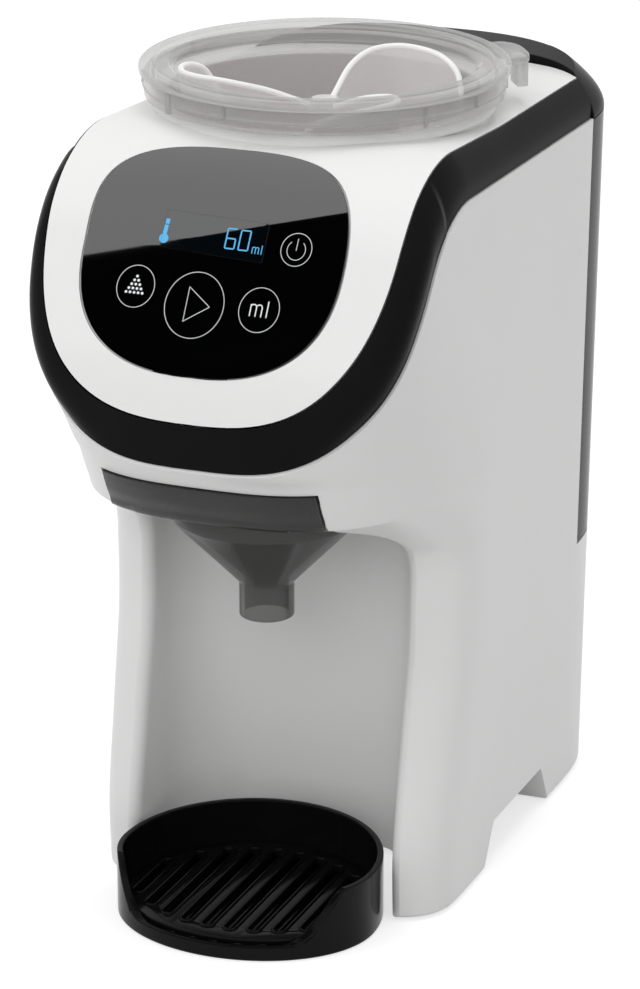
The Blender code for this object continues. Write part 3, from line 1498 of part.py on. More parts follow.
def side_rod(name, radius, start, direction, length, segments=18):
    """A cylinder lying along a direction."""
    data = bmesh.new()
    bmesh.ops.create_cone(data, cap_ends=True, segments=segments, radius1=radius, radius2=radius, depth=length)
    direction = Vector(direction).normalized()
    turn = Vector((0.0, 0.0, 1.0)).rotation_difference(direction).to_matrix().to_4x4()
    middle = Vector(start) + direction * length / 2
    bmesh.ops.transform(data, matrix=Matrix.Translation(middle) @ turn, verts=data.verts[:])
    return smooth(object_from_bmesh(data, name))


inlet_end = Vector((pump_x, pump_y + pump_half + pump_port_length, pump_port_z))
outlet_end = Vector((pump_x - pump_half - pump_port_length, pump_y, pump_port_z))
join(pump, side_rod("pump_inlet", pump_port, (pump_x, pump_y + pump_half - gap, pump_port_z), (0.0, 1.0, 0.0),
                    pump_port_length + gap), "pump_inlet")
join(pump, side_rod("pump_outlet", pump_port, (pump_x - pump_half + gap, pump_y, pump_port_z), (-1.0, 0.0, 0.0),
                    pump_port_length + gap), "pump_outlet")

heater_top = heater_base + heater_length
profile = [(0.0, heater_top + heater_cap), (heater_radius * 0.7, heater_top + heater_cap), (heater_radius, heater_top),
           (heater_radius, heater_base), (heater_radius * 0.7, heater_base - heater_cap), (0.0, heater_base
           - heater_cap)]
heater = turned("water_heater", profile, (heater_x, heater_y), 24, False)
keep(heater, "water_heater", "aluminium")
join(heater, rod("heater_outlet", heater_port, heater_top, heater_top + heater_cap + heater_port_length,
                 (heater_x, heater_y), 18), "heater_outlet")
heater_in_z = heater_base + heater_port * 2
heater_in_end = Vector((heater_x + heater_radius + heater_port_length, heater_y, heater_in_z))
join(heater, side_rod("heater_inlet", heater_port, (heater_x + heater_radius / 2, heater_y, heater_in_z),
                      (1.0, 0.0, 0.0), heater_radius / 2 + heater_port_length), "heater_inlet")
bracket_low = arch_floor + gap
bracket_high = heater_base - heater_cap - gap
bracket = box("heater_bracket", (heater_x - bracket_width / 2, heater_y - bracket_width / 2, bracket_low),
              (heater_x + bracket_width / 2, heater_y + bracket_width / 2, bracket_low + bracket_thick))
keep(bracket, "heater_bracket", "steel")
join(bracket, box("bracket_top", (heater_x - bracket_width / 2, heater_y - bracket_width / 2, bracket_high
                  - bracket_thick), (heater_x + bracket_width / 2, heater_y + bracket_width / 2, bracket_high)),
     "bracket_top")
join(bracket, box("bracket_web", (heater_x - bracket_width / 2, heater_y - bracket_width / 2, bracket_low + gap),
                  (heater_x - bracket_width / 2 + bracket_thick, heater_y + bracket_width / 2, bracket_high - gap)),
     "bracket_web")

# Hoses: tank to pump, pump to heater, heater to nozzle
hose_lead = hose_radius * 1.5
down = Vector((0.0, 0.0, -hose_lead))
back = Vector((0.0, hose_lead, 0.0))
left = Vector((-hose_lead, 0.0, 0.0))


def hose(name, start, start_lead, middle, end, end_lead, count):
    """A hose between two ports, with a short straight stretch at each."""
    route = [start + start_lead, start + start_lead * 2] + middle + [end + end_lead * 2, end + end_lead]
    points = [start] + curve_points(route, count) + [end]
    return keep(smooth(tube(name, points, hose_radius)), name, "hose_silicone")


socket_end = Vector((0.0, valve_y, socket_low - nipple_length - gap))
pump_in = inlet_end + Vector((0.0, gap, 0.0))
hose("hose_tank", socket_end, down, [socket_end.lerp(pump_in, 0.5)], pump_in, back, 16)
pump_out = outlet_end + Vector((-gap, 0.0, 0.0))
heater_in = heater_in_end + Vector((gap, 0.0, 0.0))
hose("hose_pump", pump_out, left, [], heater_in, -left, 8)
heater_out = Vector((heater_x, heater_y, heater_top + heater_cap + heater_port_length + gap))
nozzle_in = Vector((0.0, nozzle_y, nozzle_top + gap))
hose_run = plate_bottom - 2 * hose_radius
middle = [Vector((heater_x, heater_y / 2, mix(heater_out.z, hose_run, 0.7))),
          Vector((heater_x * 0.95, bay_back_y, hose_run - hose_radius)),
          Vector((heater_x * 0.65, chute_y, hose_run)),
          Vector((heater_x * 0.2, mix(chute_y, nozzle_y, 0.8), hose_run))]
hose("hose_nozzle", heater_out, -down, middle, nozzle_in, -down, 24)

# Power board with its transformer in the rear foot, control board on the dock's wall, mains inlet
power_low = floor_top + gap
power_board = box("power_board", (-power_board_half_x, power_board_y - power_board_half_y, power_low + power_post),
                  (power_board_half_x, power_board_y + power_board_half_y, power_low + power_post + board_thick))
keep(power_board, "power_board", "board_green")
for sx in (-1, 1):
    for sy in (-1, 1):
        place = (sx * (power_board_half_x - board_post * 2), power_board_y + sy * (power_board_half_y
                 - board_post * 2))
        join(power_board, rod("power_post", board_post, power_low, power_low + power_post + gap, place, 12),
             f"power_post_{sx}_{sy}".replace("-", "m"))
block_low = power_low + power_post + board_thick + gap
keep(box("transformer", (-transformer_half, power_board_y - transformer_half, block_low),
         (transformer_half, power_board_y + transformer_half, block_low + transformer_height)),
     "transformer", "steel")
control_y = tank_arc(control_half, -wall - gap) - control_stand
control = box("control_board", (-control_half, control_y - board_thick, control_low),
              (control_half, control_y, control_high))
keep(control, "control_board", "board_green")
for sx in (-1, 1):
    for height in (control_low + board_post * 2, control_high - board_post * 2):
        x = sx * (control_half - board_post * 2)
        length = tank_arc(abs(x) + board_post, -wall - gap) - control_y
        join(control, side_rod("control_post", board_post, (x, control_y - board_thick / 2, height), (0.0, 1.0, 0.0),
                               length + board_thick / 2, 12), f"control_post_{sx}_{round(height * 1000)}".replace(
                                   "-", "m"))
inlet_face = rear_wall_y - inlet_flange / 2
inlet = box("mains_inlet", (-inlet_half, rear_wall_y - inlet_depth, inlet_z - inlet_height / 2),
            (inlet_half, rear_wall_y - gap, inlet_z + inlet_height / 2))
keep(inlet, "mains_inlet", "black_plastic")
cut(inlet, box("inlet_socket", (-inlet_half * 0.6, rear_wall_y - inlet_depth * 0.7, inlet_z - inlet_height * 0.28),
               (inlet_half * 0.6, rear_wall_y + overrun, inlet_z + inlet_height * 0.28)), "inlet_socket")
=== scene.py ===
"""Looks of a countertop baby formula maker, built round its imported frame.

Lengths are metres, +Z is up and the machine's front faces -Y. Every new piece
repeats the sizes of the solid that it stands for, and adds the soft edges,
fine curves and finishes that the solid leaves out.
"""

import logging
import math
from dataclasses import dataclass, field
from enum import Enum
from functools import lru_cache
from typing import Callable, Sequence

import bmesh
import bpy
from mathutils import Matrix, Vector


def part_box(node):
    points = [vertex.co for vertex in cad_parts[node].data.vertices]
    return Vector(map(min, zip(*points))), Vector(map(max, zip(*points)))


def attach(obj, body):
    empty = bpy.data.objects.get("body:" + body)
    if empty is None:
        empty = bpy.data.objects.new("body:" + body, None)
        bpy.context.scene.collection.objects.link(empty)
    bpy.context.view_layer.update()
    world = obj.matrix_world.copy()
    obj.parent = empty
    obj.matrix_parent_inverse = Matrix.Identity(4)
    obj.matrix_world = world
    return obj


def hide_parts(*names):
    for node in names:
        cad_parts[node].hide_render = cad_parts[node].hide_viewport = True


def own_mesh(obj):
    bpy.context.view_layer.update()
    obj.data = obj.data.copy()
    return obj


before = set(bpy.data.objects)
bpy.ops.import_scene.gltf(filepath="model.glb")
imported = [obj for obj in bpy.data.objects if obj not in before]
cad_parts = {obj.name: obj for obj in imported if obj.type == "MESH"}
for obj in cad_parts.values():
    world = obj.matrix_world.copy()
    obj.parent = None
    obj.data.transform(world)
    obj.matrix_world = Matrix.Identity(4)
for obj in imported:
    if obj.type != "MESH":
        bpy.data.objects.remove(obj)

log = logging.getLogger("formula_maker")
Ring = list[Vector]
Flat = tuple[float, float]
MERGE = 0.000002


def mix(first: float, second: float, share: float) -> float:
    """The value at a share of the way from the first to the second."""
    return first + (second - first) * share


def smooth_step(value: float) -> float:
    """A share from 0 to 1 that starts and ends gently."""
    share = min(max(value, 0.0), 1.0)
    return share * share * (3 - 2 * share)


def on_circle(radius: float, angle: float, middle: Flat = (0.0, 0.0)) -> Flat:
    """A flat point at an angle round a middle."""
    return middle[0] + radius * math.cos(angle), middle[1] + radius * math.sin(angle)


def bezier(start: Vector, corner: Vector, end: Vector, t: float) -> Vector:
    """A point on the round that a corner's two sides are tangent to."""
    return start * (1 - t) ** 2 + corner * 2 * t * (1 - t) + end * t * t


def power_curve(share: float, power: float) -> float:
    """Height of a unit superellipse at a share of its half width."""
    return max(0.0, 1.0 - min(abs(share), 1.0) ** power) ** (1.0 / power)


def signed_power(value: float, power: float) -> float:
    """A power that keeps the sign of its base."""
    return math.copysign(abs(value) ** power, value)


def steepness(rows: Sequence[Sequence[float]], i: int, k: int) -> float:
    """Slope of a curve through rows of numbers that never overshoots them.

    Args:
        rows: Rows whose first number is the place and the rest are values.
        i: Row at which the slope is wanted.
        k: Column of the value.

    Returns:
        The slope of that value at that row.
    """
    last = len(rows) - 1
    before = max(i - 1, 0)
    after = min(i + 1, last)
    if i in (0, last):
        return (rows[after][k] - rows[before][k]) / (rows[after][0] - rows[before][0])
    run_before = rows[i][0] - rows[before][0]
    run_after = rows[after][0] - rows[i][0]
    slope_before = (rows[i][k] - rows[before][k]) / run_before
    slope_after = (rows[after][k] - rows[i][k]) / run_after
    if slope_before * slope_after <= 0.0:
        return 0.0
    first_weight = 2 * run_after + run_before
    second_weight = run_after + 2 * run_before
    return (first_weight + second_weight) / (first_weight / slope_before + second_weight / slope_after)


def eased(rows: Sequence[Sequence[float]], place: float) -> list[float]:
    """Values at a place on the smooth curve through rows of numbers.

    Args:
        rows: Rows whose first number is the place and the rest are values.
        place: Where the values are wanted.

    Returns:
        One value for each column after the first.
    """
    if place <= rows[0][0]:
        return list(rows[0][1:])
    if place >= rows[-1][0]:
        return list(rows[-1][1:])
    i = max(k for k in range(len(rows) - 1) if rows[k][0] <= place)
    run = rows[i + 1][0] - rows[i][0]
    t = (place - rows[i][0]) / run
    result = []
    for k in range(1, len(rows[0])):
        first = (1 + 2 * t) * (1 - t) ** 2 * rows[i][k]
        second = t * t * (3 - 2 * t) * rows[i + 1][k]
        lean = t * (1 - t) ** 2 * steepness(rows, i, k) - t * t * (1 - t) * steepness(rows, i + 1, k)
        result.append(first + second + lean * run)
    return result


def even(points: Sequence[Vector], count: int) -> Ring:
    """Points at even steps along a polyline.

    Args:
        points: Corners of the polyline.
        count: How many points are wanted, both ends among them.

    Returns:
        The evenly spaced points.
    """
    lengths = [0.0]
    for first, second in zip(points, points[1:]):
        lengths.append(lengths[-1] + (second - first).length)
    result = []
    j = 0
    for i in range(count):
        target = lengths[-1] * i / (count - 1)
        while j < len(lengths) - 2 and lengths[j + 1] < target:
            j += 1
        span = max(lengths[j + 1] - lengths[j], 1e-12)
        result.append(points[j].lerp(points[j + 1], (target - lengths[j]) / span))
    return result


def soften(points: Sequence[Flat], radius: float, closed: bool = True, steps: int = 4) -> list[Flat]:
    """Round the corners of a flat outline.

    Args:
        points: Corners of the outline in order.
        radius: How far the round reaches along each side of a corner.
        closed: Whether the last corner joins the first.
        steps: Spans of each round.

    Returns:
        The outline with each corner replaced by a short curve.
    """
    result: list[Flat] = []
    count = len(points)
    for i, point in enumerate(points):
        if not closed and i in (0, count - 1):
            result.append(point)
            continue
        here = Vector(point)
        before = Vector(points[i - 1])
        after = Vector(points[(i + 1) % count])
        first = here + (before - here).normalized() * min(radius, (before - here).length * 0.45)
        second = here + (after - here).normalized() * min(radius, (after - here).length * 0.45)
        result += [tuple(bezier(first, here, second, k / steps)) for k in range(steps + 1)]
    return result


SECTION_ROWS = (
    (0.000, -0.237, 0.300, 4.2),
    (0.072, -0.241, 0.300, 4.2),
    (0.240, -0.178, 0.300, 4.2),
    (0.400, -0.113, 0.300, 4.2),
    (0.470, -0.108, 0.302, 4.2),
    (0.507, -0.094, 0.340, 4.1),
    (0.540, -0.080, 0.450, 3.9),
    (0.568, -0.040, 0.610, 3.6),
    (0.588, 0.030, 0.800, 3.3),
    (0.604, 0.095, 0.988, 3.0),
    (0.630, 0.066, 0.988, 3.0),
    (0.664, 0.028, 0.988, 3.0),
    (0.690, -0.010, 1.000, 3.0),
    (0.744, -0.096, 1.000, 3.0),
    (0.798, -0.220, 1.000, 3.0),
    (0.845, -0.322, 1.000, 3.0),
    (0.927, -0.415, 1.000, 3.0),
    (1.100, -0.440, 1.000, 3.0),
)


ARC_ROWS = (
    (0.0000, 1.00),
    (0.0440, 0.99),
    (0.0520, 0.94),
    (0.0577, 0.80),
    (0.0628, 0.52),
    (0.0669, 0.22),
    (0.0710, 0.06),
    (0.0750, 0.00),
    (0.1200, -0.01),
)


@dataclass(frozen=True)
class BodyForm:
    """The outline of the whole body: legs, chin, head and rear."""

    gap: float = 0.0003
    wall: float = 0.0028
    overrun: float = 0.030
    half_foot: float = 0.0694
    half_top: float = 0.0750
    rear_y: float = 0.1320
    rear_reach: float = 0.0700
    rear_power: float = 4.6
    front_reach: float = 0.1265
    foot_height: float = 0.0012
    band_height: float = 0.2762
    head_cut_y: float = -0.0716
    head_cut_slope: float = math.radians(57.4)
    head_cut_radius: float = 0.0427
    top_height: float = 0.2945
    face_cut_y: float = -0.0826
    face_slope: float = math.radians(58.0)
    face_radius: float = 0.0600
    fall_slope: float = math.radians(1.3)
    tank_front_y: float = 0.0880
    tank_front_rise: float = 0.0120

    @property
    def rear_start(self) -> float:
        """Depth at which the rear round starts."""
        return self.rear_y - self.rear_reach

    @property
    def fall(self) -> float:
        """How much the top line falls per length towards the rear."""
        return math.tan(self.fall_slope)

    @property
    def band_straight_y(self) -> float:
        """Depth from which the trim band runs straight to the rear."""
        return self.face_cut_y + self.face_radius * math.tan(self.face_slope / 2)

    @property
    def band_end_y(self) -> float:
        """Depth at which the trim band meets the tank's lid."""
        return self.tank_front_y - self.gap

    def section(self, height: float) -> tuple[float, float, float]:
        """Start, reach and power of the front round at a height."""
        return section_at(height / self.band_height, self.front_reach)

    def half_at(self, height: float) -> float:
        """Half width of the body at a height."""
        return mix(self.half_foot, self.half_top, min(height / self.band_height, 1.0))

    def skin_x(self, y: float, height: float) -> float:
        """Half width of the skin at a depth and height.

        Args:
            y: Depth of the place.
            height: Height of the place.

        Returns:
            The half width there.
        """
        half = self.half_at(height)
        start, reach, power = self.section(height)
        if y < start:
            return half * power_curve((start - y) / reach, power)
        if y > self.rear_start:
            return half * power_curve((y - self.rear_start) / self.rear_reach, self.rear_power)
        return half

    def skin_y(self, x: float, height: float) -> float:
        """Depth of the skin's front at a half width and height."""
        start, reach, power = self.section(height)
        return start - reach * power_curve(x / self.half_at(height), power)

    def plan(self, height: float, inset: float, count: int) -> Ring:
        """The closed plan of the body at a height.

        Args:
            height: Level of the plan.
            inset: How far the plan lies inside the skin.
            count: Points on each half of the plan.

        Returns:
            Evenly spaced points all round, from the front's middle.
        """
        half = self.half_at(height) - inset
        start, reach, power = self.section(height)
        reach -= inset
        line = []
        for i in range(161):
            angle = math.pi / 2 * (1 - i / 160)
            x = half * math.cos(angle) ** (2 / power)
            line.append(Vector((x, start - reach * math.sin(angle) ** (2 / power), height)))
        for i in range(121):
            angle = math.pi / 2 * i / 120
            x = half * math.cos(angle) ** (2 / self.rear_power)
            y = self.rear_start + (self.rear_reach - inset) * math.sin(angle) ** (2 / self.rear_power)
            line.append(Vector((x, y, height)))
        right = even(line, count + 1)
        left = [Vector((-point.x, point.y, height)) for point in right[count - 1:0:-1]]
        return right + left

    def rounded_profile(self, y: float, corner_y: float, corner_height: float, slope: float, radius: float) -> float:
        """Height of a slanted line that a round turns into the falling top line.

        Args:
            y: Depth at which the height is wanted.
            corner_y: Depth at which both lines would meet.
            corner_height: Height at which they would meet.
            slope: Steepness of the slanted line, as an angle.
            radius: Radius of the round between them.

        Returns:
            The height at that depth.
        """
        reach = radius * math.tan(slope / 2)
        start_y = corner_y - reach * math.cos(slope)
        end_y = corner_y + reach
        if y <= start_y:
            return corner_height - (corner_y - y) * math.tan(slope)
        if y < end_y:
            return corner_height - radius + math.sqrt(radius ** 2 - (end_y - y) ** 2)
        return corner_height - self.fall * (y - end_y)

    def head_cut(self, y: float) -> float:
        """Height of the trim band's lower edge."""
        return self.rounded_profile(y, self.head_cut_y, self.band_height, self.head_cut_slope, self.head_cut_radius)

    def face_line(self, y: float) -> float:
        """Height of the face and top along the middle."""
        return self.rounded_profile(y, self.face_cut_y, self.top_height, self.face_slope, self.face_radius)

    def tank_arc(self, x: float, offset: float = 0.0) -> float:
        """Depth of the tank's curved front."""
        return self.tank_front_y + self.tank_front_rise * eased(ARC_ROWS, abs(x))[0] + offset


@lru_cache(maxsize=None)
def section_at(share: float, front_reach: float) -> tuple[float, float, float]:
    """The smooth front section at a share of the band's height."""
    start, reach, power = eased(SECTION_ROWS, share)
    return start * front_reach, reach * front_reach, power


@dataclass
class FaceForm:
    """The curved surface that the white face, the glass and its marks lie on."""

    body: BodyForm
    foot_y: float = -0.1320
    foot_height: float = 0.2088
    half: float = 0.0673
    length: float = 0.0900
    power: float = 2.8
    crown_height: float = 0.0034
    steps: int = 500
    path: list[tuple[float, Vector]] = field(default_factory=list)

    def __post_init__(self) -> None:
        """Measure the runs along the face's middle line."""
        run = 0.0
        last: Vector | None = None
        for i in range(self.steps + 1):
            y = mix(self.foot_y, self.body.band_straight_y, (i / self.steps) ** 1.5)
            lift = self.body.face_line(self.foot_y) - self.foot_height
            share = max(0.0, 1.0 - (y - self.foot_y) / (self.body.face_radius / 6))
            point = Vector((0.0, y, self.body.face_line(y) - lift * share ** 2))
            if last is not None:
                run += (point - last).length
            self.path.append((run, point))
            last = point

    @property
    def end(self) -> float:
        """Run at which the top's straight part starts."""
        return self.path[-1][0]

    def at(self, run: float) -> Vector:
        """A point in the middle of the face at a run from its foot.

        Args:
            run: Length up the face from its foot.

        Returns:
            The point in the machine's middle plane.
        """
        if run >= self.end:
            y = self.body.band_straight_y + (run - self.end)
            return Vector((0.0, y, self.body.face_line(y)))
        low = 0
        high = len(self.path) - 1
        while high - low > 1:
            middle = (low + high) // 2
            if self.path[middle][0] <= run:
                low = middle
            else:
                high = middle
        first, second = self.path[low], self.path[high]
        return first[1].lerp(second[1], (run - first[0]) / (second[0] - first[0]))

    def normal(self, run: float) -> Vector:
        """Outward direction of the face at a run."""
        step = self.body.wall / 2
        along = (self.at(run + step) - self.at(max(run - step, 0.0))).normalized()
        return Vector((0.0, -along.z, along.y))

    def crown(self, x: float, run: float) -> float:
        """How far the flat top falls towards its sides."""
        share = min(max((run - self.length) / self.length, 0.0), 1.0)
        return self.crown_height * share * min(abs(x) / self.half, 1.2) ** 2.0

    def point(self, x: float, run: float, lift: float = 0.0) -> Vector:
        """A point on the face, or lifted off it.

        Args:
            x: Place to the right of the middle.
            run: Length up the face from its foot.
            lift: Height over the surface.

        Returns:
            The point in the part's frame.
        """
        place = self.at(run) + self.normal(run) * (lift - self.crown(x, run))
        return Vector((x, place.y, place.z))

    def half_at(self, run: float) -> float:
        """Half width of the white face at a run."""
        return self.half * power_curve((self.length - min(run, self.length)) / self.length, self.power)


class Operation(Enum):
    """What a second solid does to the first."""

    CUT = "DIFFERENCE"
    FUSE = "UNION"


class Bench:
    """The modelling bench: hand tools that start, shape and finish a mesh."""

    @staticmethod
    def clear() -> None:
        """Leave edit mode and let go of everything that is selected."""
        if bpy.context.object is not None and bpy.context.object.mode != "OBJECT":
            bpy.ops.object.mode_set(mode="OBJECT")
        bpy.ops.object.select_all(action="DESELECT")

    @staticmethod
    def take(item: bpy.types.Object) -> None:
        """Make one piece the only one that is selected."""
        Bench.clear()
        item.select_set(True)
        bpy.context.view_layer.objects.active = item

    @staticmethod
    def started(name: str) -> bpy.types.Object:
        """Name the primitive that was just added and open it for editing.

        Args:
            name: Name of the piece.

        Returns:
            The piece, in edit mode.
        """
        item = bpy.context.object
        item.name = name
        item.data.name = name
        bpy.ops.object.mode_set(mode="EDIT")
        return item

    @staticmethod
    def close_up(item: bpy.types.Object, fill: bool) -> None:
        """Merge what meets, fill open ends if wanted, and face everything outwards.

        Args:
            item: The piece, in edit mode; not used.
            fill: Whether open ends are filled.
        """
        bpy.ops.mesh.select_all(action="SELECT")
        bpy.ops.mesh.remove_doubles(threshold=MERGE)
        if fill:
            bpy.ops.mesh.fill_holes(sides=0)
        bpy.ops.mesh.select_all(action="SELECT")
        bpy.ops.mesh.normals_make_consistent(inside=False)
        bpy.ops.object.mode_set(mode="OBJECT")

    @staticmethod
    def lattice(name: str, grid: Sequence[Ring], wrap: bool = False, fill: bool = False) -> bpy.types.Object:
        """Shape a grid primitive into a skin through rows of points.

        Args:
            name: Name of the piece.
            grid: Sections of points, all of one length.
            wrap: Whether each section is a closed loop.
            fill: Whether open ends are filled.

        Returns:
            The shaped piece.
        """
        columns = len(grid) - 1
        rows = len(grid[0]) if wrap else len(grid[0]) - 1
        Bench.clear()
        bpy.ops.mesh.primitive_grid_add(x_subdivisions=columns, y_subdivisions=rows, size=2.0, location=(0, 0, 0))
        item = Bench.started(name)
        mesh = bmesh.from_edit_mesh(item.data)
        for vert in mesh.verts:
            i = round((vert.co.x + 1) / 2 * columns)
            j = round((vert.co.y + 1) / 2 * rows)
            vert.co = grid[i][j % len(grid[0])]
        bmesh.update_edit_mesh(item.data)
        Bench.close_up(item, fill)
        return item

    @staticmethod
    def solid(name: str, grid: Sequence[Ring]) -> bpy.types.Object:
        """A closed loft through rings of points, with both ends filled."""
        return Bench.lattice(name, grid, wrap=True, fill=True)

    @staticmethod
    def turned(name: str, profile: Sequence[Flat], middle: Flat = (0.0, 0.0), closed: bool = True,
               segments: int = 96) -> bpy.types.Object:
        """Extrude a profile from one vertex and spin it round an upright axis.

        Args:
            name: Name of the piece.
            profile: Radius and height of each profile point.
            middle: Place of the axis.
            closed: Whether the profile's last point joins its first.
            segments: Steps of the spin.

        Returns:
            The round piece.
        """
        Bench.clear()
        bpy.ops.mesh.primitive_plane_add(size=0.001, location=(0, 0, 0))
        item = Bench.started(name)
        bpy.ops.mesh.select_all(action="SELECT")
        bpy.ops.mesh.merge(type="CENTER")
        bpy.ops.transform.translate(value=(middle[0] + profile[0][0], middle[1], profile[0][1]))
        for first, second in zip(profile, profile[1:]):
            move = (second[0] - first[0], 0.0, second[1] - first[1])
            bpy.ops.mesh.extrude_region_move(TRANSFORM_OT_translate={"value": move})
        if closed:
            mesh = bmesh.from_edit_mesh(item.data)
            mesh.verts.ensure_lookup_table()
            for vert in mesh.verts:
                vert.select_set(vert.index in (0, len(mesh.verts) - 1))
            mesh.select_flush_mode()
            bmesh.update_edit_mesh(item.data)
            bpy.ops.mesh.edge_face_add()
        bpy.ops.mesh.select_all(action="SELECT")
        bpy.ops.mesh.spin(steps=segments, angle=2 * math.pi, center=(middle[0], middle[1], 0.0), axis=(0, 0, 1))
        Bench.close_up(item, False)
        return item

    @staticmethod
    def tile(name: str, outline: Sequence[Vector], thickness: Vector) -> bpy.types.Object:
        """Shape a filled circle into an outline and extrude it.

        Args:
            name: Name of the piece.
            outline: Corners of the face in order.
            thickness: How far and in which direction it is extruded.

        Returns:
            The closed piece.
        """
        Bench.clear()
        bpy.ops.mesh.primitive_circle_add(vertices=len(outline), radius=1.0, fill_type="NGON", location=(0, 0, 0))
        item = Bench.started(name)
        mesh = bmesh.from_edit_mesh(item.data)
        mesh.verts.ensure_lookup_table()
        for vert, point in zip(mesh.verts, outline):
            vert.co = point
        bmesh.update_edit_mesh(item.data)
        bpy.ops.mesh.select_all(action="SELECT")
        bpy.ops.mesh.extrude_region_move(TRANSFORM_OT_translate={"value": tuple(thickness)})
        Bench.close_up(item, True)
        return item

    @staticmethod
    def prism(name: str, outline: Sequence[Flat], low: float, high: float) -> bpy.types.Object:
        """A flat outline in plan, extruded upwards."""
        return Bench.tile(name, [Vector((x, y, low)) for x, y in outline], Vector((0.0, 0.0, high - low)))

    @staticmethod
    def side_prism(name: str, outline: Sequence[Flat], half: float) -> bpy.types.Object:
        """An outline seen from the side, extruded across the machine."""
        return Bench.tile(name, [Vector((-half, y, z)) for y, z in outline], Vector((2 * half, 0.0, 0.0)))

    @staticmethod
    def block(name: str, low: Sequence[float], high: Sequence[float], soft: float = 0.0) -> bpy.types.Object:
        """A cube primitive brought to its corners, with its edges bevelled.

        Args:
            name: Name of the piece.
            low: Its lowest corner.
            high: Its highest corner.
            soft: Width of the bevel, or 0 for none.

        Returns:
            The block.
        """
        Bench.clear()
        bpy.ops.mesh.primitive_cube_add(size=2.0, location=(0, 0, 0))
        item = Bench.started(name)
        mesh = bmesh.from_edit_mesh(item.data)
        for vert in mesh.verts:
            vert.co = Vector([mix(low[k], high[k], (vert.co[k] + 1) / 2) for k in range(3)])
        bmesh.update_edit_mesh(item.data)
        bpy.ops.mesh.select_all(action="SELECT")
        if soft > 0.0:
            bpy.ops.mesh.bevel(offset=soft, segments=3, affect="EDGES")
        Bench.close_up(item, False)
        return item

    @staticmethod
    def rod(name: str, radius: float, low: float, high: float, middle: Flat, segments: int = 48) -> bpy.types.Object:
        """A round bar along Z."""
        outline = [on_circle(radius, 2 * math.pi * i / segments, middle) for i in range(segments)]
        return Bench.prism(name, outline, low, high)

    @staticmethod
    def modify(item: bpy.types.Object, kind: str, **settings: object) -> bpy.types.Object:
        """Add a modifier with its settings and apply it.

        Args:
            item: The piece.
            kind: The modifier's type.
            settings: The modifier's settings.

        Returns:
            The same piece.
        """
        Bench.take(item)
        added = item.modifiers.new(kind.lower(), kind)
        for key, value in settings.items():
            setattr(added, key, value)
        bpy.ops.object.modifier_apply(modifier=added.name)
        return item

    @staticmethod
    def thicken(item: bpy.types.Object, thickness: float) -> bpy.types.Object:
        """Give a sheet that lies on the face its thickness, towards the inside."""
        total = sum((f.normal * f.area for f in item.data.polygons), Vector())
        return Bench.modify(item, "SOLIDIFY", thickness=thickness, offset=-1.0 if total.z > 0 else 1.0)

    @staticmethod
    def work(item: bpy.types.Object, other: bpy.types.Object, how: Operation = Operation.CUT) -> bpy.types.Object:
        """Cut a piece with another one, or fuse them; the other is used up."""
        Bench.modify(item, "BOOLEAN", operation=how.value, solver="EXACT", object=other)
        bpy.data.objects.remove(other)
        return item

    @staticmethod
    def gather(name: str, items: Sequence[bpy.types.Object]) -> bpy.types.Object:
        """Join several meshes into one object.

        Args:
            name: Name of the joined piece.
            items: What is joined.

        Returns:
            The joined piece.
        """
        Bench.take(items[0])
        for item in items:
            item.select_set(True)
        bpy.ops.object.join()
        joined = bpy.context.object
        joined.name = name
        joined.data.name = name
        return joined

    @staticmethod
    def copy(item: bpy.types.Object, name: str, place: Matrix) -> bpy.types.Object:
        """A copy with its own mesh, turned or moved to a place.

        Args:
            item: What is copied.
            name: Name of the copy.
            place: Where the copy's mesh goes.

        Returns:
            The copy.
        """
        other = item.copy()
        other.data = item.data.copy()
        other.name = name
        other.data.name = name
        bpy.context.scene.collection.objects.link(other)
        other.data.transform(place)
        return other

    @staticmethod
    def tidy(item: bpy.types.Object, angle: float = 32.0, merge: float = 0.0, even_out: bool = False
             ) -> bpy.types.Object:
        """Clean a mesh and shade it smooth up to an angle.

        Args:
            item: The piece.
            angle: Edges sharper than this, in degrees, stay crisp.
            merge: Points closer than this are merged first.
            even_out: Whether large faces keep their own direction.

        Returns:
            The same piece.
        """
        Bench.take(item)
        if merge > 0.0:
            bpy.ops.object.mode_set(mode="EDIT")
            bpy.ops.mesh.select_all(action="SELECT")
            bpy.ops.mesh.remove_doubles(threshold=merge)
            bpy.ops.mesh.dissolve_degenerate(threshold=MERGE)
            bpy.ops.object.mode_set(mode="OBJECT")
        bpy.ops.object.shade_smooth_by_angle(angle=math.radians(angle))
        if even_out:
            Bench.modify(item, "WEIGHTED_NORMAL", keep_sharp=True, weight=60)
        return item

    @staticmethod
    def soft_edges(item: bpy.types.Object, width: float, angle: float = 40.0, segments: int = 2) -> bpy.types.Object:
        """Bevel the sharp edges of a piece."""
        return Bench.modify(item, "BEVEL", width=width, segments=segments, limit_method="ANGLE",
                            angle_limit=math.radians(angle), use_clamp_overlap=False, miter_outer="MITER_ARC")


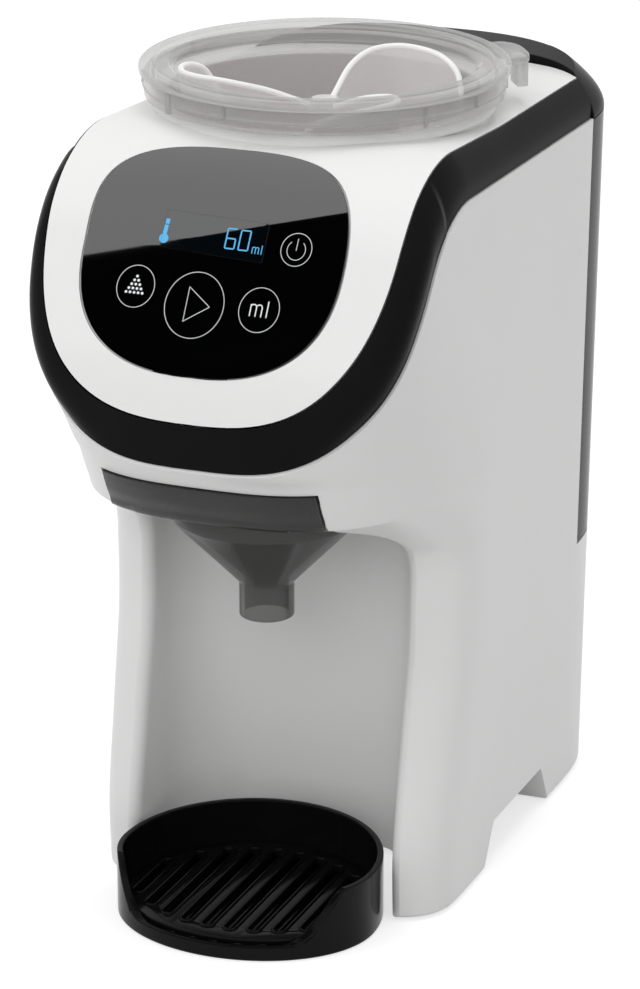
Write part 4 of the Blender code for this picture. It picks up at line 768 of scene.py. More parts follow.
class Signal:
    """A value in a material's nodes that the arithmetic operators work on."""

    def __init__(self, graph: "Graph", socket: bpy.types.NodeSocket) -> None:
        """Wrap an output socket of a graph."""
        self.graph = graph
        self.socket = socket

    def __add__(self, other: "Signal | float") -> "Signal":
        """Sum of two values."""
        return self.graph.math("ADD", self, other)

    def __radd__(self, other: float) -> "Signal":
        """Sum with a number in front."""
        return self.graph.math("ADD", other, self)

    def __sub__(self, other: "Signal | float") -> "Signal":
        """Difference of two values."""
        return self.graph.math("SUBTRACT", self, other)

    def __rsub__(self, other: float) -> "Signal":
        """A number in front, less this value."""
        return self.graph.math("SUBTRACT", other, self)

    def __mul__(self, other: "Signal | float") -> "Signal":
        """Product of two values."""
        return self.graph.math("MULTIPLY", self, other)

    def __rmul__(self, other: float) -> "Signal":
        """Product with a number in front."""
        return self.graph.math("MULTIPLY", other, self)

    def __pow__(self, other: "Signal | float") -> "Signal":
        """This value to a power."""
        return self.graph.math("POWER", self, other)

    def over(self, low: float, high: float) -> "Signal":
        """Where this value stands between two numbers, from 0 to 1."""
        node = self.graph.node("ShaderNodeMapRange", {"clamp": True, "interpolation_type": "SMOOTHSTEP"},
                               {"Value": self, "From Min": low, "From Max": high})
        return Signal(self.graph, node.outputs[0])


class Graph:
    """The node tree of one material or world."""

    def __init__(self, tree: bpy.types.NodeTree) -> None:
        """Start an empty tree."""
        self.tree = tree
        tree.nodes.clear()

    def put(self, socket: bpy.types.NodeSocket, value: "Signal | bpy.types.Node | float | Sequence[float]") -> None:
        """Link a signal to a socket, or set the socket's own value.

        Args:
            socket: The input socket.
            value: A signal, a node or a plain value.
        """
        if isinstance(value, Signal):
            self.tree.links.new(value.socket, socket)
        elif isinstance(value, bpy.types.Node):
            self.tree.links.new(value.outputs[0], socket)
        else:
            socket.default_value = value

    def node(self, kind: str, settings: dict[str, object] | None = None,
             values: dict[str | int, object] | None = None) -> bpy.types.Node:
        """Add a node.

        Args:
            kind: The node's type.
            settings: Its own settings, set first.
            values: Values or links of its sockets, by name or place.

        Returns:
            The node.
        """
        made = self.tree.nodes.new(kind)
        for key, value in (settings or {}).items():
            setattr(made, key, value)
        for key, value in (values or {}).items():
            self.put(made.inputs[key], value)
        return made

    def math(self, operation: str, first: "Signal | float", second: "Signal | float") -> Signal:
        """A Math node on two values."""
        made = self.node("ShaderNodeMath", {"operation": operation}, {0: first, 1: second})
        return Signal(self, made.outputs[0])

    def out(self, made: bpy.types.Node, place: int | str = 0) -> Signal:
        """An output of a node as a signal."""
        return Signal(self, made.outputs[place])

    def coordinates(self, stretch: Sequence[float] = (1.0, 1.0, 1.0)) -> Signal:
        """Object coordinates, stretched along the axes."""
        source = self.node("ShaderNodeTexCoord")
        made = self.node("ShaderNodeMapping", {}, {"Vector": self.out(source, "Object"), "Scale": tuple(stretch)})
        return self.out(made)

    def noise(self, scale: float, detail: float = 2.0, stretch: Sequence[float] = (1.0, 1.0, 1.0)) -> Signal:
        """Soft noise on the piece's own coordinates."""
        made = self.node("ShaderNodeTexNoise", {}, {"Vector": self.coordinates(stretch), "Scale": scale,
                                                    "Detail": detail})
        return self.out(made)

    def shade(self, share: "Signal | float", first: Sequence[float], second: Sequence[float]) -> Signal:
        """A colour between two colours."""
        made = self.node("ShaderNodeMix", {"data_type": "RGBA"}, {0: share, 6: (*first, 1.0), 7: (*second, 1.0)})
        return Signal(self, made.outputs[2])

    def bump(self, height: Signal, distance: float, strength: float = 1.0) -> Signal:
        """A Bump node from a height."""
        made = self.node("ShaderNodeBump", {}, {"Height": height, "Distance": distance, "Strength": strength})
        return self.out(made)

    def facing(self, blend: float) -> Signal:
        """How far a surface turns away from the view."""
        made = self.node("ShaderNodeLayerWeight", {}, {"Blend": blend})
        return self.out(made, "Facing")

    def seen(self) -> Signal:
        """One for rays from the camera or through a gloss or glass, else zero."""
        path = self.node("ShaderNodeLightPath")
        total = self.out(path, "Is Camera Ray") + self.out(path, "Is Glossy Ray")
        return self.math("MINIMUM", total + self.out(path, "Is Transmission Ray"), 1.0)

    def surface(self, values: dict[str | int, object]) -> None:
        """The shader with its values, and the tree's output."""
        made = self.node("ShaderNodeBsdfPrincipled", {}, values)
        self.node("ShaderNodeOutputMaterial", {}, {"Surface": made})


Colour = tuple[float, float, float]
PURE_WHITE = (1.0, 1.0, 1.0, 1.0)


class Finish:
    """A finish: one material, made once under its name."""

    name: str

    def make(self) -> bpy.types.Material:
        """Build the material, or return it if it exists.

        Returns:
            The material.
        """
        found = bpy.data.materials.get(self.name)
        if found is not None:
            return found
        material = bpy.data.materials.new(self.name)
        material.use_nodes = True
        self.paint(Graph(material.node_tree))
        return material

    def paint(self, graph: Graph) -> None:
        """Add the nodes of this finish to an empty tree."""
        raise NotImplementedError(self.name)


def darker(colour: Colour, share: float) -> Colour:
    """A colour with all its channels times a share."""
    return colour[0] * share, colour[1] * share, colour[2] * share


@dataclass(frozen=True)
class Plastic(Finish):
    """A moulded plastic, solid or see-through."""

    name: str
    colour: Colour
    roughness: float = 0.35
    specular: float = 0.5
    cloud: float = 0.03
    cloud_scale: float = 18.0
    grain: float = 0.000004
    grain_scale: float = 1800.0
    grain_strength: float = 0.6
    wipe_scale: float = 4.0
    wipe_stretch: Colour = (1.0, 1.0, 0.35)
    wipe_low: float = 0.85
    wipe_span: float = 0.3
    cover: float = 1.0
    rim_cover: float = 1.0
    rim_blend: float = 0.35
    cover_cloud: float = 0.04
    # Emission in the piece's own colour: real light for the lit display, painted glow on the frosted parts, the
    # stirrer rim and the print.
    glow: float = 0.0
    soft: float = 0.0
    soft_depth: float = 0.004

    def paint(self, graph: Graph) -> None:
        """Cloudy colour, wiped gloss, fine grain, and cover that grows towards the rim.

        Args:
            graph: The material's tree.
        """
        cloud = graph.noise(self.cloud_scale, 3.0)
        colour = graph.shade(cloud, darker(self.colour, 1 - self.cloud), darker(self.colour, 1 + self.cloud))
        wipe = graph.noise(self.cloud_scale * self.wipe_scale, 2.0, self.wipe_stretch)
        values: dict[str | int, object] = {
            "Base Color": colour,
            "Roughness": self.roughness * (self.wipe_low + self.wipe_span * wipe),
            "Specular IOR Level": self.specular,
            "Normal": graph.bump(graph.noise(self.grain_scale, 1.0), self.grain, self.grain_strength),
            "Subsurface Weight": self.soft,
            "Subsurface Radius": (self.soft_depth,) * 3,
            "Subsurface Scale": 1.0,
        }
        if self.cover < 1.0:
            rim = graph.facing(self.rim_blend) ** 2.0
            values["Alpha"] = self.cover + (self.rim_cover - self.cover) * rim + self.cover_cloud * (cloud - 0.5)
        # Painted glow, except on the lit display, which really gives light.
        if self.glow > 0.0:
            values["Emission Color"] = colour
            values["Emission Strength"] = self.glow
        graph.surface(values)


@dataclass(frozen=True)
class PanelGlass(Finish):
    """Black glass with a strong, clear reflection."""

    name: str = "black_panel_glass"
    colour: Colour = (0.0012, 0.0012, 0.0014)
    ior: float = 2.25
    roughness: float = 0.02
    smear_scale: float = 26.0
    smear_stretch: Colour = (1.0, 0.5, 1.6)
    ripple: float = 0.000004
    ripple_scale: float = 40.0

    def paint(self, graph: Graph) -> None:
        """Smeared gloss on a nearly even sheet.

        Args:
            graph: The material's tree.
        """
        smear = graph.noise(self.smear_scale, 3.0, self.smear_stretch)
        graph.surface({
            "Base Color": graph.shade(smear, darker(self.colour, 0.7), self.colour),
            "Roughness": self.roughness * (0.6 + 0.8 * smear),
            "IOR": self.ior,
            "Normal": graph.bump(graph.noise(self.ripple_scale, 1.0), self.ripple, 0.3),
        })


@dataclass(frozen=True)
class Metal(Finish):
    """Turned or brushed metal with fine lines along an axis."""

    name: str
    colour: Colour
    roughness: float = 0.28
    line_scale: float = 260.0
    line_stretch: Colour = (1.0, 1.0, 30.0)
    line_depth: float = 0.00001

    def paint(self, graph: Graph) -> None:
        """Fine lines in the colour, the gloss and the surface.

        Args:
            graph: The material's tree.
        """
        lines = graph.noise(self.line_scale, 2.0, self.line_stretch)
        graph.surface({
            "Base Color": graph.shade(lines, darker(self.colour, 0.82), self.colour),
            "Metallic": 1.0,
            "Roughness": self.roughness * (0.8 + 0.5 * lines),
            "Normal": graph.bump(lines, self.line_depth, 0.5),
        })


@dataclass(frozen=True)
class BoardGreen(Finish):
    """A lacquered circuit board with faint tracks."""

    name: str = "board_lacquer"
    colour: Colour = (0.012, 0.11, 0.045)
    track: Colour = (0.03, 0.19, 0.08)
    cell_scale: float = 260.0
    track_edges: Flat = (0.30, 0.36)
    track_height: float = 0.00003

    def paint(self, graph: Graph) -> None:
        """Raised tracks between square cells.

        Args:
            graph: The material's tree.
        """
        cells = graph.node("ShaderNodeTexVoronoi", {"distance": "CHEBYCHEV"},
                           {"Vector": graph.coordinates(), "Scale": self.cell_scale})
        tracks = graph.out(cells).over(*self.track_edges)
        graph.surface({
            "Base Color": graph.shade(tracks, self.colour, self.track),
            "Roughness": 0.3 + 0.15 * graph.noise(60.0),
            "Normal": graph.bump(tracks, self.track_height, 0.6),
        })


@dataclass(frozen=True)
class PaleFloor(Finish):
    """The floor: pale, shadowed, and as light as the studio where it is seen."""

    name: str = "pale_floor"
    bounce: float = 0.03
    lit: float = 0.62

    def paint(self, graph: Graph) -> None:
        """A cloudy diffuse grey with an even light of its own.

        Args:
            graph: The material's tree.
        """
        grey = graph.shade(graph.noise(1.5, 2.0), (0.6, 0.6, 0.6), (0.62, 0.62, 0.62))
        diffuse = graph.node("ShaderNodeBsdfDiffuse", {}, {"Color": grey})
        strength = self.bounce + (self.lit - self.bounce) * graph.seen()
        light = graph.node("ShaderNodeEmission", {}, {"Color": PURE_WHITE, "Strength": strength})
        total = graph.node("ShaderNodeAddShader", {}, {0: diffuse, 1: light})
        graph.node("ShaderNodeOutputMaterial", {}, {"Surface": total})


@dataclass(frozen=True)
class DeadBlack(Finish):
    """A sheet that gives back no light."""

    name: str = "card_black"

    def paint(self, graph: Graph) -> None:
        """Plain black without gloss."""
        shade = graph.node("ShaderNodeBsdfDiffuse", {}, {"Color": (0.0, 0.0, 0.0, 1.0)})
        graph.node("ShaderNodeOutputMaterial", {}, {"Surface": shade})


WHITE = Plastic("white_moulded", (0.86, 0.86, 0.855), roughness=0.34, specular=0.42, cloud=0.008)
BLACK_TRIM = Plastic("black_gloss_trim", (0.009, 0.009, 0.009), roughness=0.24, specular=0.02, cloud=0.15)
LID_CLEAR = Plastic("clear_lid", (0.46, 0.455, 0.45), roughness=0.14, specular=0.5, cloud=0.02, cover=0.34,
                    rim_cover=0.85)
LID_WINDOW = Plastic("clear_lid_window", (0.60, 0.595, 0.59), roughness=0.12, specular=0.4, cloud=0.02, cover=0.05,
                     rim_cover=0.22)
BOWL_CLEAR = Plastic("clear_bowl", (0.52, 0.505, 0.49), roughness=0.16, specular=0.5, cloud=0.03, cover=0.40,
                     rim_cover=0.80, grain=0.000001)
# Frosted plastic with a painted glow that stands in for light shining through it.
FROSTED = Plastic("frosted_stirrer_painted_glow", (0.88, 0.88, 0.87), roughness=0.3, cloud=0.02, cover=0.46, rim_cover=0.85,
                  glow=0.10, grain=0.000001)
# White stirrer rim with a stronger painted glow that stands in for light shining through it.
STIRRER_RIM = Plastic("white_stirrer_rim_painted_glow", (0.92, 0.92, 0.91), roughness=0.3, cloud=0.02, cover=0.95, rim_cover=1.0,
                      glow=0.22)
SMOKED = Plastic("smoked_tank", (0.018, 0.019, 0.020), roughness=0.16, specular=0.04, cloud=0.1, cover=0.91,
                 rim_cover=0.98, grain=0.000001)
SMOKED_BOWL = Plastic("smoked_bowl", (0.084, 0.086, 0.082), roughness=0.16, specular=0.26, cloud=0.1, cover=0.56,
                      rim_cover=0.93, grain=0.000001)
SMOKED_FUNNEL = Plastic("smoked_funnel", (0.042, 0.043, 0.041), roughness=0.16, specular=0.26, cloud=0.1, cover=0.72,
                        rim_cover=0.95, grain=0.000001)
CORAL = Plastic("coral_wheel", (0.80, 0.17, 0.12), roughness=0.35, cloud=0.04)
BLACK_PLASTIC = Plastic("black_gloss_tray", (0.0048, 0.0048, 0.0048), roughness=0.13, specular=0.09, cloud=0.15)
MATT_BLACK = Plastic("black_plain", (0.012, 0.012, 0.012), roughness=0.42, specular=0.4, cloud=0.15)
RUBBER = Plastic("grey_rubber", (0.03, 0.03, 0.03), roughness=0.75, specular=0.25, cloud=0.2, grain=0.00002,
                 grain_scale=900.0)
SILICONE = Plastic("hose_silicone", (0.62, 0.63, 0.63), roughness=0.4, cover=0.75, rim_cover=0.95)
NYLON = Plastic("natural_nylon", (0.72, 0.70, 0.63), roughness=0.45, cloud=0.03, soft=0.05)
# White print with a faint painted glow that lightens it.
PRINT = Plastic("white_print_painted_glow", (0.78, 0.79, 0.80), roughness=0.4, specular=0.3, cloud=0.02, glow=0.06)
DISPLAY_LIGHT = Plastic("display_light", (0.08, 0.34, 0.60), roughness=0.4, specular=0.2, cloud=0.02, glow=0.5)
DISPLAY_WINDOW = PanelGlass("display_window", (0.002, 0.0035, 0.005))
DISPLAY_FRAME = PanelGlass("display_frame", (0.02, 0.024, 0.028))
GLASS = PanelGlass()
STEEL = Metal("turned_steel", (0.56, 0.56, 0.55))
ALUMINIUM = Metal("brushed_aluminium", (0.78, 0.78, 0.77), roughness=0.34)
BOARD = BoardGreen()


def hand_over(item: bpy.types.Object, finish: Finish, body: str,
              replaced: Sequence[str] = (), mirrored: bool = True) -> bpy.types.Object:
    """Give a finished piece its material, its body and the node that it stands for.

    Args:
        item: The piece.
        finish: Its finish.
        body: The body that it rides on.
        replaced: Nodes that it stands for.
        mirrored: Whether it shows in the gloss of other pieces.

    Returns:
        The same piece.
    """
    item.visible_glossy = mirrored
    item.data.materials.clear()
    item.data.materials.append(finish.make())
    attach(item, body)
    if replaced:
        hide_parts(*replaced)
    log.info("piece %s: %d faces on %s", item.name, len(item.data.polygons), body)
    return item


@dataclass
class MainShell:
    """The white moulding: legs, bay, chin, arches and the tank's dock."""

    body: BodyForm
    plan_points: int = 130
    level_count: int = 116
    foot_round: float = 0.0015
    bay_half: float = 0.0507
    bay_height: float = 0.1562
    bay_back_y: float = -0.0100
    bay_back_radius: float = 0.0240
    bay_top_radius: float = 0.0128
    mouth_round: float = 0.0058
    mouth_lift: float = 0.00035
    arch_height: float = 0.0182
    arch_front_y: float = -0.0017
    arch_rear_y: float = 0.0535
    arch_flare: float = 0.0105
    floor_wall: float = 0.0030
    shelf_height: float = 0.1000
    drawer_half: float = 0.0410
    drawer_clearance: float = 0.0006
    drawer_ceiling: float = 0.1860
    slot_front_y: float = -0.1050
    slot_lintel: float = 0.1817
    drawer_back_y: float = -0.0140
    deck_low: float = 0.1772
    ledge_half: float = 0.0368
    plate_side: float = 0.0001
    plate_heights: Flat = (0.1653, 0.1820)
    plate_depth: float = 0.0024
    chute: Flat = (-0.0427, 0.0103)
    nozzle: Flat = (-0.0760, 0.0063)
    valve_y: float = 0.1150
    socket_radius: float = 0.0153
    inlet_half: float = 0.0153
    inlet_depth: float = 0.03
    inlet_heights: Flat = (0.0397, 0.0603)
    weld: float = 0.00012

    def hull(self) -> bpy.types.Object:
        """The outer skin as a closed loft.

        Returns:
            The finished piece.
        """
        low = self.body.foot_height
        levels = []
        for i in range(5):
            angle = math.pi / 2 * i / 4
            inset = self.foot_round * (1 - math.sin(angle))
            levels.append((low + self.foot_round * (1 - math.cos(angle)), inset))
        top = self.body.band_height * 1.03
        start = low + self.foot_round
        for i in range(1, self.level_count + 1):
            levels.append((mix(start, top, i / self.level_count), 0.0))
        return Bench.solid("main_shell_skin", [self.body.plan(z, inset, self.plan_points) for z, inset in levels])

    def cavity(self) -> bpy.types.Object:
        """The hollow inside the walls, before what the walls go round."""
        wall = self.body.wall
        low = self.body.foot_height + self.floor_wall
        rings = [self.body.plan(mix(low, self.body.band_height + wall, i / 44), wall, 44) for i in range(45)]
        return Bench.solid("cavity", rings)

    def mouth_path(self, half: float, high: float, radius: float) -> list[tuple[Flat, Flat]]:
        """The bay's outline, seen from the front.

        Args:
            half: Half width of the bay.
            high: Height of its ceiling.
            radius: Radius of its upper corners.

        Returns:
            Points with their outward directions, from the right foot to the left.
        """
        path = []
        low = -self.body.overrun
        for i in range(64):
            path.append(((half, mix(low, high - radius, i / 64)), (1.0, 0.0)))
        for i in range(9):
            angle = math.pi / 2 * i / 8
            path.append((on_circle(radius, angle, (half - radius, high - radius)), on_circle(1.0, angle)))
        for i in range(1, 24):
            path.append(((mix(half - radius, 0.0, i / 24), high), (0.0, 1.0)))
        left = [((-x, z), (-nx, nz)) for (x, z), (nx, nz) in path[::-1]]
        return path + [((0.0, high), (0.0, 1.0))] + left

    def bay(self) -> bpy.types.Object:
        """The bay's space, flared at its mouth so that the edge is a soft round.

        Returns:
            The finished piece.
        """
        body = self.body
        stations: list[Ring] = []
        back = self.bay_back_y
        depth = self.bay_back_radius
        for i in range(11):
            y = back - depth * (1 - math.cos(math.pi / 2 * i / 10))
            side = depth - math.sqrt(max(depth ** 2 - (y - back + depth) ** 2, 0.0))
            near = max(y - back + self.bay_top_radius, 0.0)
            top = self.bay_top_radius - math.sqrt(max(self.bay_top_radius ** 2 - near ** 2, 0.0))
            outline = self.mouth_path(self.bay_half - side, self.bay_height - top,
                                      max(self.bay_top_radius - top, 0.0004))
            stations.append([Vector((x, y, z)) for (x, z), _ in outline])
        path = self.mouth_path(self.bay_half, self.bay_height, self.bay_top_radius)
        edge, outer, inner = [], [], []
        for (x, z), (nx, nz) in path:
            spot = Vector((x, body.skin_y(x, z), z))
            reach = self.mouth_round
            for _ in range(4):
                away = Vector((x + nx * reach, body.skin_y(x + nx * reach, z + nz * reach), z + nz * reach))
                reach *= self.mouth_round / (away - spot).length
            along = (away - spot).normalized()
            out = Vector((0.0, -1.0, 0.0))
            out = (out - along * out.dot(along)).normalized()
            edge.append(spot)
            outer.append(away + out * self.mouth_lift)
            inner.append(spot + Vector((0.0, self.mouth_round, 0.0)))
        for i in range(0, 9):
            stations.append([Vector((p.x, mix(back - depth - 0.0006, p.y, i / 8), p.z)) for p in inner])
        for k in range(1, 11):
            t = k / 10
            ring = []
            for spot, first, second in zip(edge, inner, outer):
                half_angle = (first - spot).angle(second - spot) / 2
                weight = math.sin(half_angle)
                total = (1 - t) ** 2 + 2 * t * (1 - t) * weight + t * t
                ring.append((first * (1 - t) ** 2 + spot * 2 * t * (1 - t) * weight + second * t * t) / total)
            stations.append(ring)
        front = -body.front_reach - body.overrun
        stations.append([Vector((p.x, front, p.z)) for p in outer])
        return Bench.solid("bay", stations)

    def plain_bay(self, grow: float) -> bpy.types.Object:
        """The bay's space grown by a wall, for the hollow behind it.

        Args:
            grow: How much larger it is on every side.

        Returns:
            The space as a closed piece.
        """
        half, back = self.bay_half + grow, self.bay_back_y + grow
        radius = self.bay_back_radius + grow
        outline = [(half, -0.2), (half, back - radius)]
        outline += [on_circle(radius, math.pi / 2 * i / 12, (half - radius, back - radius)) for i in range(1, 13)]
        outline += [(-x, y) for x, y in outline[::-1]]
        return Bench.prism("plain_bay", outline, -self.body.overrun, self.bay_height + grow)

    def arch(self, grow: float) -> bpy.types.Object:
        """The arch under the sides.

        Args:
            grow: How much larger it is on every side.

        Returns:
            The space as a closed piece.
        """
        low = -self.body.overrun
        run = self.arch_flare * (self.arch_height + self.body.overrun) / self.arch_height
        outline = [(self.arch_front_y - grow - run, low), (self.arch_rear_y + grow + run, low),
                   (self.arch_rear_y + grow, self.arch_height + grow),
                   (self.arch_front_y - grow, self.arch_height + grow)]
        return Bench.side_prism("arch", outline, self.body.half_top + self.body.overrun)

    def dock(self, offset: float, low: float) -> bpy.types.Object:
        """Everything behind the tank's curved front, above a height.

        Args:
            offset: How far the front lies behind the tank's arc.
            low: Height of its foot.

        Returns:
            The space as a closed piece.
        """
        body = self.body
        half = body.half_top + body.overrun
        places = [mix(-half, half, i / 60) for i in range(61)]
        outline = [(x, body.tank_arc(x, offset)) for x in places]
        outline += [(half, body.rear_y + body.overrun), (-half, body.rear_y + body.overrun)]
        return Bench.prism("dock", outline, low, body.top_height + 2 * body.overrun)

    def chin_plate(self, name: str, half: float, low: float, high: float, near: float, far: float
                   ) -> bpy.types.Object:
        """A plate that follows the chin between two offsets from it.

        Args:
            name: Name of the piece.
            half: Half of its width.
            low: Height of its lower edge.
            high: Height of its upper edge.
            near: Depth of its front behind the chin's skin.
            far: Depth of its rear behind the chin's skin.

        Returns:
            The plate as a closed piece.
        """
        rows = 12
        sections = []
        for i in range(41):
            x = mix(-half, half, i / 40)
            heights = [mix(low, high, k / rows) for k in range(rows + 1)]
            ring = [Vector((x, self.body.skin_y(x, z) + near, z)) for z in heights]
            ring += [Vector((x, self.body.skin_y(x, z) + far, z)) for z in heights[::-1]]
            sections.append(ring)
        return Bench.solid(name, sections)

    def head(self) -> bpy.types.Object:
        """Everything above the trim band's lower edge.

        Returns:
            The finished piece.
        """
        body = self.body
        front = -body.front_reach - 2 * body.overrun
        back = body.rear_y + body.overrun
        places = [mix(front, back, i / 280) for i in range(281)]
        outline = [(y, body.head_cut(y)) for y in places]
        outline += [(back, body.top_height + 3 * body.overrun), (front, body.top_height + 3 * body.overrun)]
        return Bench.side_prism("head", outline, body.half_top + body.overrun)

    def build(self) -> bpy.types.Object:
        """Cut the skin to the finished shell.

        Returns:
            The finished piece.
        """
        body = self.body
        wall = body.wall
        slot_half = self.drawer_half + self.drawer_clearance
        front = -body.front_reach - body.overrun
        shell = self.hull()
        cavity = self.cavity()
        for space in (self.plain_bay(wall), self.arch(self.floor_wall), self.dock(-wall, self.shelf_height - wall),
                      Bench.block("slot_outside", (-slot_half - wall, front, self.bay_height - body.overrun),
                                  (slot_half + wall, self.drawer_back_y + wall, self.drawer_ceiling + wall))):
            Bench.work(cavity, space)
        low, high = self.plate_heights
        for space in (self.head(), self.chin_plate("plate_space", slot_half + self.plate_side, low, high,
                                                   -body.overrun, self.plate_depth),
                      self.bay(), cavity, self.arch(0.0), self.dock(0.0, self.shelf_height)):
            Bench.work(shell, space)
        slot_low = self.deck_low - body.gap
        spaces = [Bench.block("slot", (-slot_half, self.slot_front_y, slot_low),
                              (slot_half, self.drawer_back_y, self.drawer_ceiling)),
                  Bench.block("slot_mouth", (-slot_half, front, slot_low),
                              (slot_half, self.slot_front_y + wall, self.slot_lintel)),
                  Bench.block("ledge", (-self.ledge_half, front, self.bay_height - body.overrun),
                              (self.ledge_half, self.drawer_back_y, self.deck_low))]
        for y, radius in (self.chute, self.nozzle):
            spaces.append(Bench.rod("ceiling_hole", radius, self.drawer_ceiling - wall,
                                    self.drawer_ceiling + 2 * wall, (0.0, y)))
        spaces.append(Bench.rod("socket_hole", self.socket_radius, self.shelf_height - 2 * wall,
                                self.shelf_height + wall, (0.0, self.valve_y)))
        low, high = self.inlet_heights
        spaces.append(Bench.block("inlet_hole", (-self.inlet_half, body.rear_y - self.inlet_depth, low),
                                  (self.inlet_half, body.rear_y + self.inlet_depth, high)))
        for space in spaces:
            Bench.work(shell, space)
        return Bench.tidy(shell, 30.0, self.weld, True)

    def dress(self) -> None:
        """Build the shell and hand it over."""
        shell = self.build()
        shell.name = "shell_moulding"
        hand_over(shell, WHITE, "machine", ["main_shell"])


@dataclass
class HeadCover:
    """The black trim band, the white face and top, and the touch panel."""

    body: BodyForm
    face: FaceForm
    band_wall: float = 0.0030
    band_depth: float = 0.0050
    band_soft: float = 0.00045
    hem: float = 0.00065
    hem_lean: float = 0.4
    stations: int = 150
    bulge_share: float = 0.16
    bulge_start: float = 0.0300
    bulge_end: float = 0.0600
    bulge_spans: int = 12
    cover_gap: float = 0.00045
    cover_thick: float = 0.0028
    container_y: float = -0.0007
    hole_radius: float = 0.0614
    collar_radii: tuple[float, float] = (0.0596, 0.0630)
    collar_heights: tuple[float, float] = (0.2925, 0.2974)
    collar_round: float = 0.0009
    glass_half: float = 0.0489
    glass_low: float = 0.0169
    glass_mid: float = 0.0620
    glass_high: float = 0.1073
    glass_powers: tuple[float, float] = (2.5, 2.8)
    glass_middle: tuple[float, float] = (-0.0015, -0.0050)
    glass_thick: float = 0.0014
    glass_proud: float = 0.0003
    glass_seat: float = 0.0004

    def lower_edge(self) -> Ring:
        """Half of the band's lower edge, from the front's middle to the side.

        Returns:
            Points of the right half.
        """
        body = self.body
        points: Ring = []
        steps = 900
        for i in range(steps + 1):
            y = mix(-body.front_reach - body.overrun, body.band_straight_y, i / steps)
            height = body.head_cut(y)
            x = body.skin_x(y, height) if height > body.foot_height else 0.0
            if x > 0.0:
                if not points:
                    points.append(Vector((0.0, y, height)))
                points.append(Vector((x, y, height)))
        return points

    def upper_edge(self) -> Ring:
        """Half of the face's outline, from the middle of its foot to the top's side.

        Returns:
            Points of the right half.
        """
        points = []
        for i in range(601):
            run = self.face.end * (i / 600) ** 2.2
            x = self.face.half_at(run)
            points.append(self.face.point(x, run))
        return points

    def band_ring(self, low: Vector, high: Vector) -> Ring:
        """The closed section of the band at one station of the right half.

        Args:
            low: The station's point on the band's lower edge.
            high: Its point on the face's outline.

        Returns:
            Points all round the section, with soft corners and a bulged front.
        """
        body = self.body
        chamfer = (high - low).normalized()
        rise = (body.head_cut(low.y + body.gap) - body.head_cut(low.y - body.gap)) / (2 * body.gap)
        lift = Vector((0.0, -rise, 1.0)).normalized()
        side = Vector((low.x, low.y - self.container_y, 0.0)).normalized()
        inward = -(side - lift * side.dot(lift)).normalized()
        if low.x > body.half_at(low.z) * 0.999:
            inward = Vector((-1.0, 0.0, 0.0))
        first = low + lift * body.gap
        third = high - lift * self.band_depth
        fourth = first + inward * self.band_wall
        if (third - fourth).dot(chamfer) < body.gap:
            third = fourth + chamfer * self.band_wall
        first += inward * self.hem + chamfer * self.hem * self.hem_lean
        corners = [first, high, third, fourth]
        chord = high - first
        out = -(inward - chamfer * inward.dot(chamfer)).normalized()
        share = smooth_step((low.x - self.bulge_start) / (self.bulge_end - self.bulge_start))
        swell = self.bulge_share * chord.length * share
        swell = min(swell, max(chord.dot(inward), 0.0) / max(-4 * out.dot(inward), 0.001))
        ring: Ring = []
        for i, corner in enumerate(corners):
            before = corners[i - 1]
            after = corners[(i + 1) % 4]
            start = corner + (before - corner).normalized() * self.band_soft
            end = corner + (after - corner).normalized() * self.band_soft
            ring += [bezier(start, corner, end, k / 3) for k in range(4)]
            if i == 0:
                for k in range(1, self.bulge_spans):
                    t = k / self.bulge_spans
                    ring.append(end.lerp(high, t) + out * 4 * swell * t * (1 - t))
        return ring

    def band(self) -> bpy.types.Object:
        """The trim band as one loft from the left side round the face to the right.

        Returns:
            The finished piece.
        """
        body = self.body
        low = even(self.lower_edge(), self.stations)
        high = even(self.upper_edge(), self.stations)
        for k in range(1, 17):
            y = mix(body.band_straight_y, body.band_end_y, k / 16)
            height = body.head_cut(y)
            low.append(Vector((body.half_at(height), y, height)))
            y = mix(body.band_straight_y, body.tank_arc(self.face.half, -body.gap), k / 16)
            high.append(self.face.point(self.face.half, self.face.end + (y - body.band_straight_y)))
            high[-1].y = y
        rings = [self.band_ring(a, b) for a, b in zip(low, high)]
        for spot in (p for ring in rings[-8:] for p in ring):
            spot.y = min(spot.y, body.tank_arc(spot.x, -body.gap))
        mirrored = [[Vector((-p.x, p.y, p.z)) for p in ring] for ring in rings[:0:-1]]
        item = Bench.solid("head_band", mirrored + rings)
        return Bench.tidy(item, 40.0, 0.0, True)

    def patch(self, name: str, runs: Sequence[float], half_of: Callable[[float], float], lift: float,
              thickness: float, columns: int, middle_of: Callable[[float], float]) -> bpy.types.Object:
        """A plate on the face's surface.

        Args:
            name: Name of the piece.
            runs: Rows of the plate along the face.
            half_of: Half width of the plate at a run.
            lift: Height of the plate's top over the surface.
            thickness: Thickness of the plate.
            columns: Spans across the plate.
            middle_of: Middle of the plate at a run.

        Returns:
            The plate as a closed piece.
        """
        shares = [math.sin(math.pi / 2 * (2 * i / columns - 1)) for i in range(columns + 1)]
        grid = []
        for run in runs:
            half, middle = half_of(run), middle_of(run)
            grid.append([self.face.point(middle + half * share, run, lift) for share in shares])
        return Bench.thicken(Bench.lattice(name, grid), thickness)

    def cover(self) -> bpy.types.Object:
        """The white face and top, with the panel's pocket and the container's hole.

        Returns:
            The finished piece.
        """
        body, face = self.body, self.face
        end = face.end + (body.tank_front_y + body.tank_front_rise - body.band_straight_y) + body.wall
        runs = [self.cover_gap + (face.end - self.cover_gap) * max(i / 84, 0.004) ** 1.9 for i in range(85)]
        runs += [mix(face.end, end, k / 30) for k in range(1, 31)]
        stretch = face.length / (face.length - self.cover_gap)

        def half_of(run: float) -> float:
            """Half width of the cover, a gap inside the band."""
            return max(face.half_at((run - self.cover_gap) * stretch) - self.cover_gap, 0.0002)

